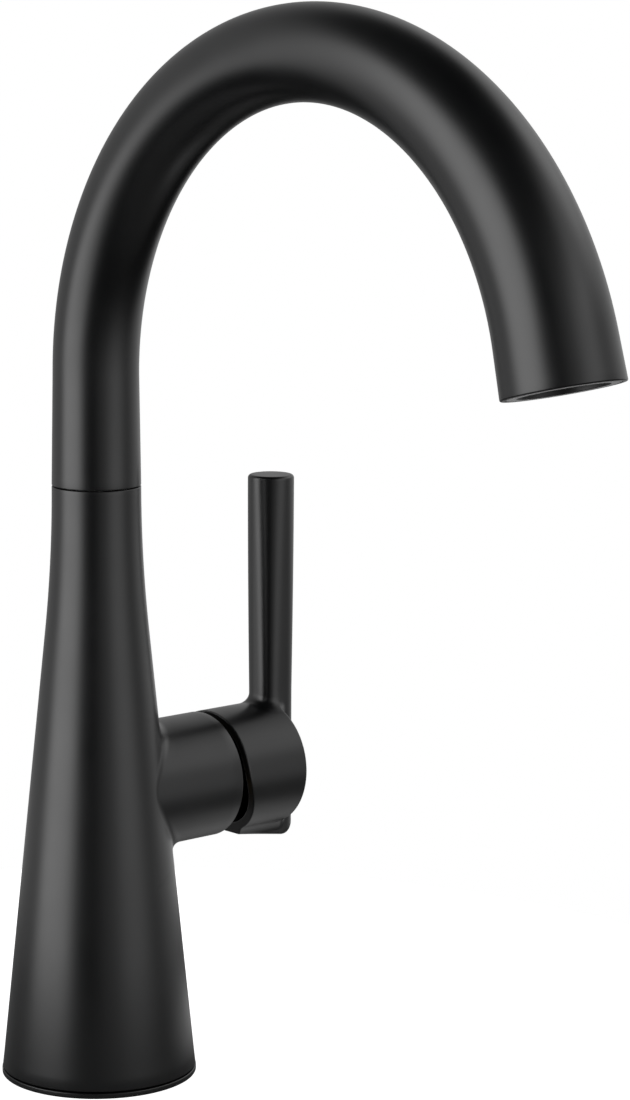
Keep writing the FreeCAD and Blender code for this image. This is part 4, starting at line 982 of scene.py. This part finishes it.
# ---- camera: the place and turn that fit the photograph, in millimetres, radians and pixels ----
CAMERA_BEARING = 38.38 * DEGREE
CAMERA_DISTANCE = 1048.6
CAMERA_HEIGHT = 340.6
CAMERA_TURN = 0.0643
CAMERA_DIP = 0.1646
CAMERA_ROLL = 0.0055
FOCAL_PIXELS = 3435.6
PHOTO_HEIGHT = 1100
SENSOR = 36.0

towards_camera = Vector((math.cos(CAMERA_BEARING), -math.sin(CAMERA_BEARING), 0))
up = Vector((0, 0, 1))
level = -towards_camera
level = level * math.cos(CAMERA_TURN) + level.cross(up) * math.sin(CAMERA_TURN)
ahead = level * math.cos(CAMERA_DIP) - up * math.sin(CAMERA_DIP)
right = ahead.cross(up).normalized()
above = right.cross(ahead)
rolled_right = right * math.cos(CAMERA_ROLL) + above * math.sin(CAMERA_ROLL)
rolled_up = above * math.cos(CAMERA_ROLL) - right * math.sin(CAMERA_ROLL)

lens = bpy.data.cameras.new("photo_camera")
lens.sensor_width = SENSOR
lens.lens = FOCAL_PIXELS * SENSOR / PHOTO_HEIGHT
lens.clip_start, lens.clip_end = 0.01, 100
camera = bpy.data.objects.new("photo_camera", lens)
bpy.context.scene.collection.objects.link(camera)
place = towards_camera * CAMERA_DISTANCE * MM + up * CAMERA_HEIGHT * MM
turn = Matrix((rolled_right, rolled_up, -ahead)).transposed().to_4x4()
camera.matrix_world = Matrix.Translation(place) @ turn
bpy.context.scene.camera = camera


# ---- studio ----
class Panel(NamedTuple):
    """A soft-edged panel of light far away, in degrees. Bearings count from the camera's side of the
    object, to the camera's right; low and high are elevations; edge and rise are half the soft margins."""
    bearing: float
    half_width: float
    edge: float
    low: float
    high: float
    rise: float
    radiance: float


PANELS = {
    "key": Panel(-67, 27, 12, -21, 38, 12, 3.85),
    "key_spill": Panel(-116, 14, 12, -21, 38, 12, 0.15),
    "fill": Panel(51, 19, 14, -21, 38, 12, 1.05),
    "fill_spill": Panel(46, 42, 14, -17, 38, 8, 0.52),
    "upper_right": Panel(98, 40, 14, 22, 54, 8, 0.95),
    "cove": Panel(180, 84, 20, -21, 46, 6, 0.40),
    "cove_right": Panel(135, 40, 20, -21, 46, 6, 0.38),
}
DIM_ROOM = 0.008

# The floor's sizes in millimetres, then how bright the camera sees it and how bright the painted glow is
# that reflections see in a pool under the hub.
FLOOR_RADIUS = 250
FLOOR_GAP = 0.05
POOL_CENTRE = Vector((20, 105, 0))
POOL_RADIUS = 50
POOL_EDGE = 20
FLOOR_SHOWN = 0.9
FLOOR_REFLECTED = 0.5


def soft_window(tree, distance, half_width, edge):
    """1 inside a half width in degrees, 0 outside, with a smooth edge on both sides of the limit."""
    node = linked(
        tree, "ShaderNodeMapRange", Value=distance, From_Min=(half_width + edge) * DEGREE,
        From_Max=(half_width - edge) * DEGREE, To_Min=0.0, To_Max=1.0,
    )
    node.interpolation_type = "SMOOTHSTEP"
    return node.outputs["Result"]


def along(tree, direction, axis):
    """How much of a direction lies along an axis."""
    return vector_maths(tree, "DOT_PRODUCT", direction, tuple(axis), "Value")


def studio_world():
    """White backdrop for the camera. Light and reflections see panels round the object in a dim room."""
    world = bpy.data.worlds.new("studio")
    bpy.context.scene.world = world
    world.use_nodes = True
    tree = world.node_tree
    background = tree.nodes["Background"]
    path = tree.nodes.new("ShaderNodeLightPath")
    direction = tree.nodes.new("ShaderNodeTexCoord").outputs["Generated"]
    to_right = towards_camera.cross(up) * -1
    bearing = maths(
        tree, "ARCTAN2", along(tree, direction, to_right), along(tree, direction, towards_camera)
    )
    elevation = maths(tree, "ARCSINE", along(tree, direction, up))
    light = DIM_ROOM
    for panel in PANELS.values():
        turned_by = maths(tree, "SUBTRACT", bearing, panel.bearing * DEGREE)
        aside = maths(tree, "ABSOLUTE", maths(tree, "WRAP", turned_by, math.pi, -math.pi))
        across = soft_window(tree, aside, panel.half_width, panel.edge)
        middle = (panel.high + panel.low) / 2 * DEGREE
        from_middle = maths(tree, "ABSOLUTE", maths(tree, "SUBTRACT", elevation, middle))
        upwards = soft_window(tree, from_middle, (panel.high - panel.low) / 2, panel.rise)
        shape = maths(tree, "MULTIPLY", across, upwards)
        light = maths(tree, "MULTIPLY_ADD", shape, panel.radiance, light)
    shown = maths(tree, "MAXIMUM", light, path.outputs["Is Camera Ray"])
    tree.links.new(shown, background.inputs["Strength"])
    background.inputs["Color"].default_value = (1, 1, 1, 1)


def pale_floor_paint():
    """Pale paint that the camera sees nearly as white as the backdrop. It is clear from below. Reflections
    see it
    with painted light: a painted glow in a pool under the hub, and painted shade, darker than its paint,
    round the foot."""
    material = bpy.data.materials.new("pale_floor")
    material.use_nodes = True
    tree = material.node_tree
    shader = tree.nodes["Principled BSDF"]
    place = tree.nodes.new("ShaderNodeTexCoord").outputs["Object"]
    patches = noise(tree, place, 3.0, 2.0)
    tint = mixed(tree, patches, (0.80, 0.80, 0.80, 1), (0.82, 0.82, 0.82, 1))
    shader.inputs["Roughness"].default_value = 0.9
    shader.inputs["Specular IOR Level"].default_value = 0.0
    path = tree.nodes.new("ShaderNodeLightPath")
    # Painted shade: reflections see the floor darker than its paint.
    mirrored_tint = mixed(tree, path.outputs["Is Glossy Ray"], tint, (0.35, 0.35, 0.35, 1))
    tree.links.new(mirrored_tint, shader.inputs["Base Color"])
    # Painted pool of light: a glow that only reflections see, brightest under the hub.
    from_pool = vector_maths(tree, "DISTANCE", place, tuple(POOL_CENTRE * MM), "Value")
    outside, inside = (POOL_RADIUS + POOL_EDGE) * MM, (POOL_RADIUS - POOL_EDGE) * MM
    pool = spread(tree, from_pool, outside, inside, 0.0, FLOOR_REFLECTED)
    shader.inputs["Emission Color"].default_value = (1, 1, 1, 1)
    mirrored = maths(tree, "MULTIPLY", path.outputs["Is Glossy Ray"], pool)
    lift = maths(tree, "MULTIPLY_ADD", path.outputs["Is Camera Ray"], FLOOR_SHOWN, mirrored)
    tree.links.new(lift, shader.inputs["Emission Strength"])
    clear = tree.nodes.new("ShaderNodeBsdfTransparent")
    sides = tree.nodes.new("ShaderNodeMixShader")
    tree.links.new(tree.nodes.new("ShaderNodeNewGeometry").outputs["Backfacing"], sides.inputs[0])
    tree.links.new(shader.outputs[0], sides.inputs[1])
    tree.links.new(clear.outputs[0], sides.inputs[2])
    tree.links.new(sides.outputs[0], tree.nodes["Material Output"].inputs["Surface"])
    return material


def studio_floor(material):
    """Round floor just under the foot, facing up: flat rings about the body's axis."""
    ring_count, columns = 12, 96
    rings = np.linspace(1, FLOOR_RADIUS, ring_count)[:, None]
    points = turned((rings, np.full((ring_count, 1), -FLOOR_GAP)), columns)[0]
    faces = quads(np.arange(len(points)).reshape(ring_count, columns), close_rows=False)[:, ::-1]
    mesh = bpy.data.meshes.new("floor")
    mesh.from_pydata((points * MM).tolist(), [], faces.tolist())
    mesh.materials.append(material)
    floor = bpy.data.objects.new("floor", mesh)
    bpy.context.scene.collection.objects.link(floor)


studio_world()
studio_floor(pale_floor_paint())

bpy.context.scene.view_settings.view_transform = "Standard"
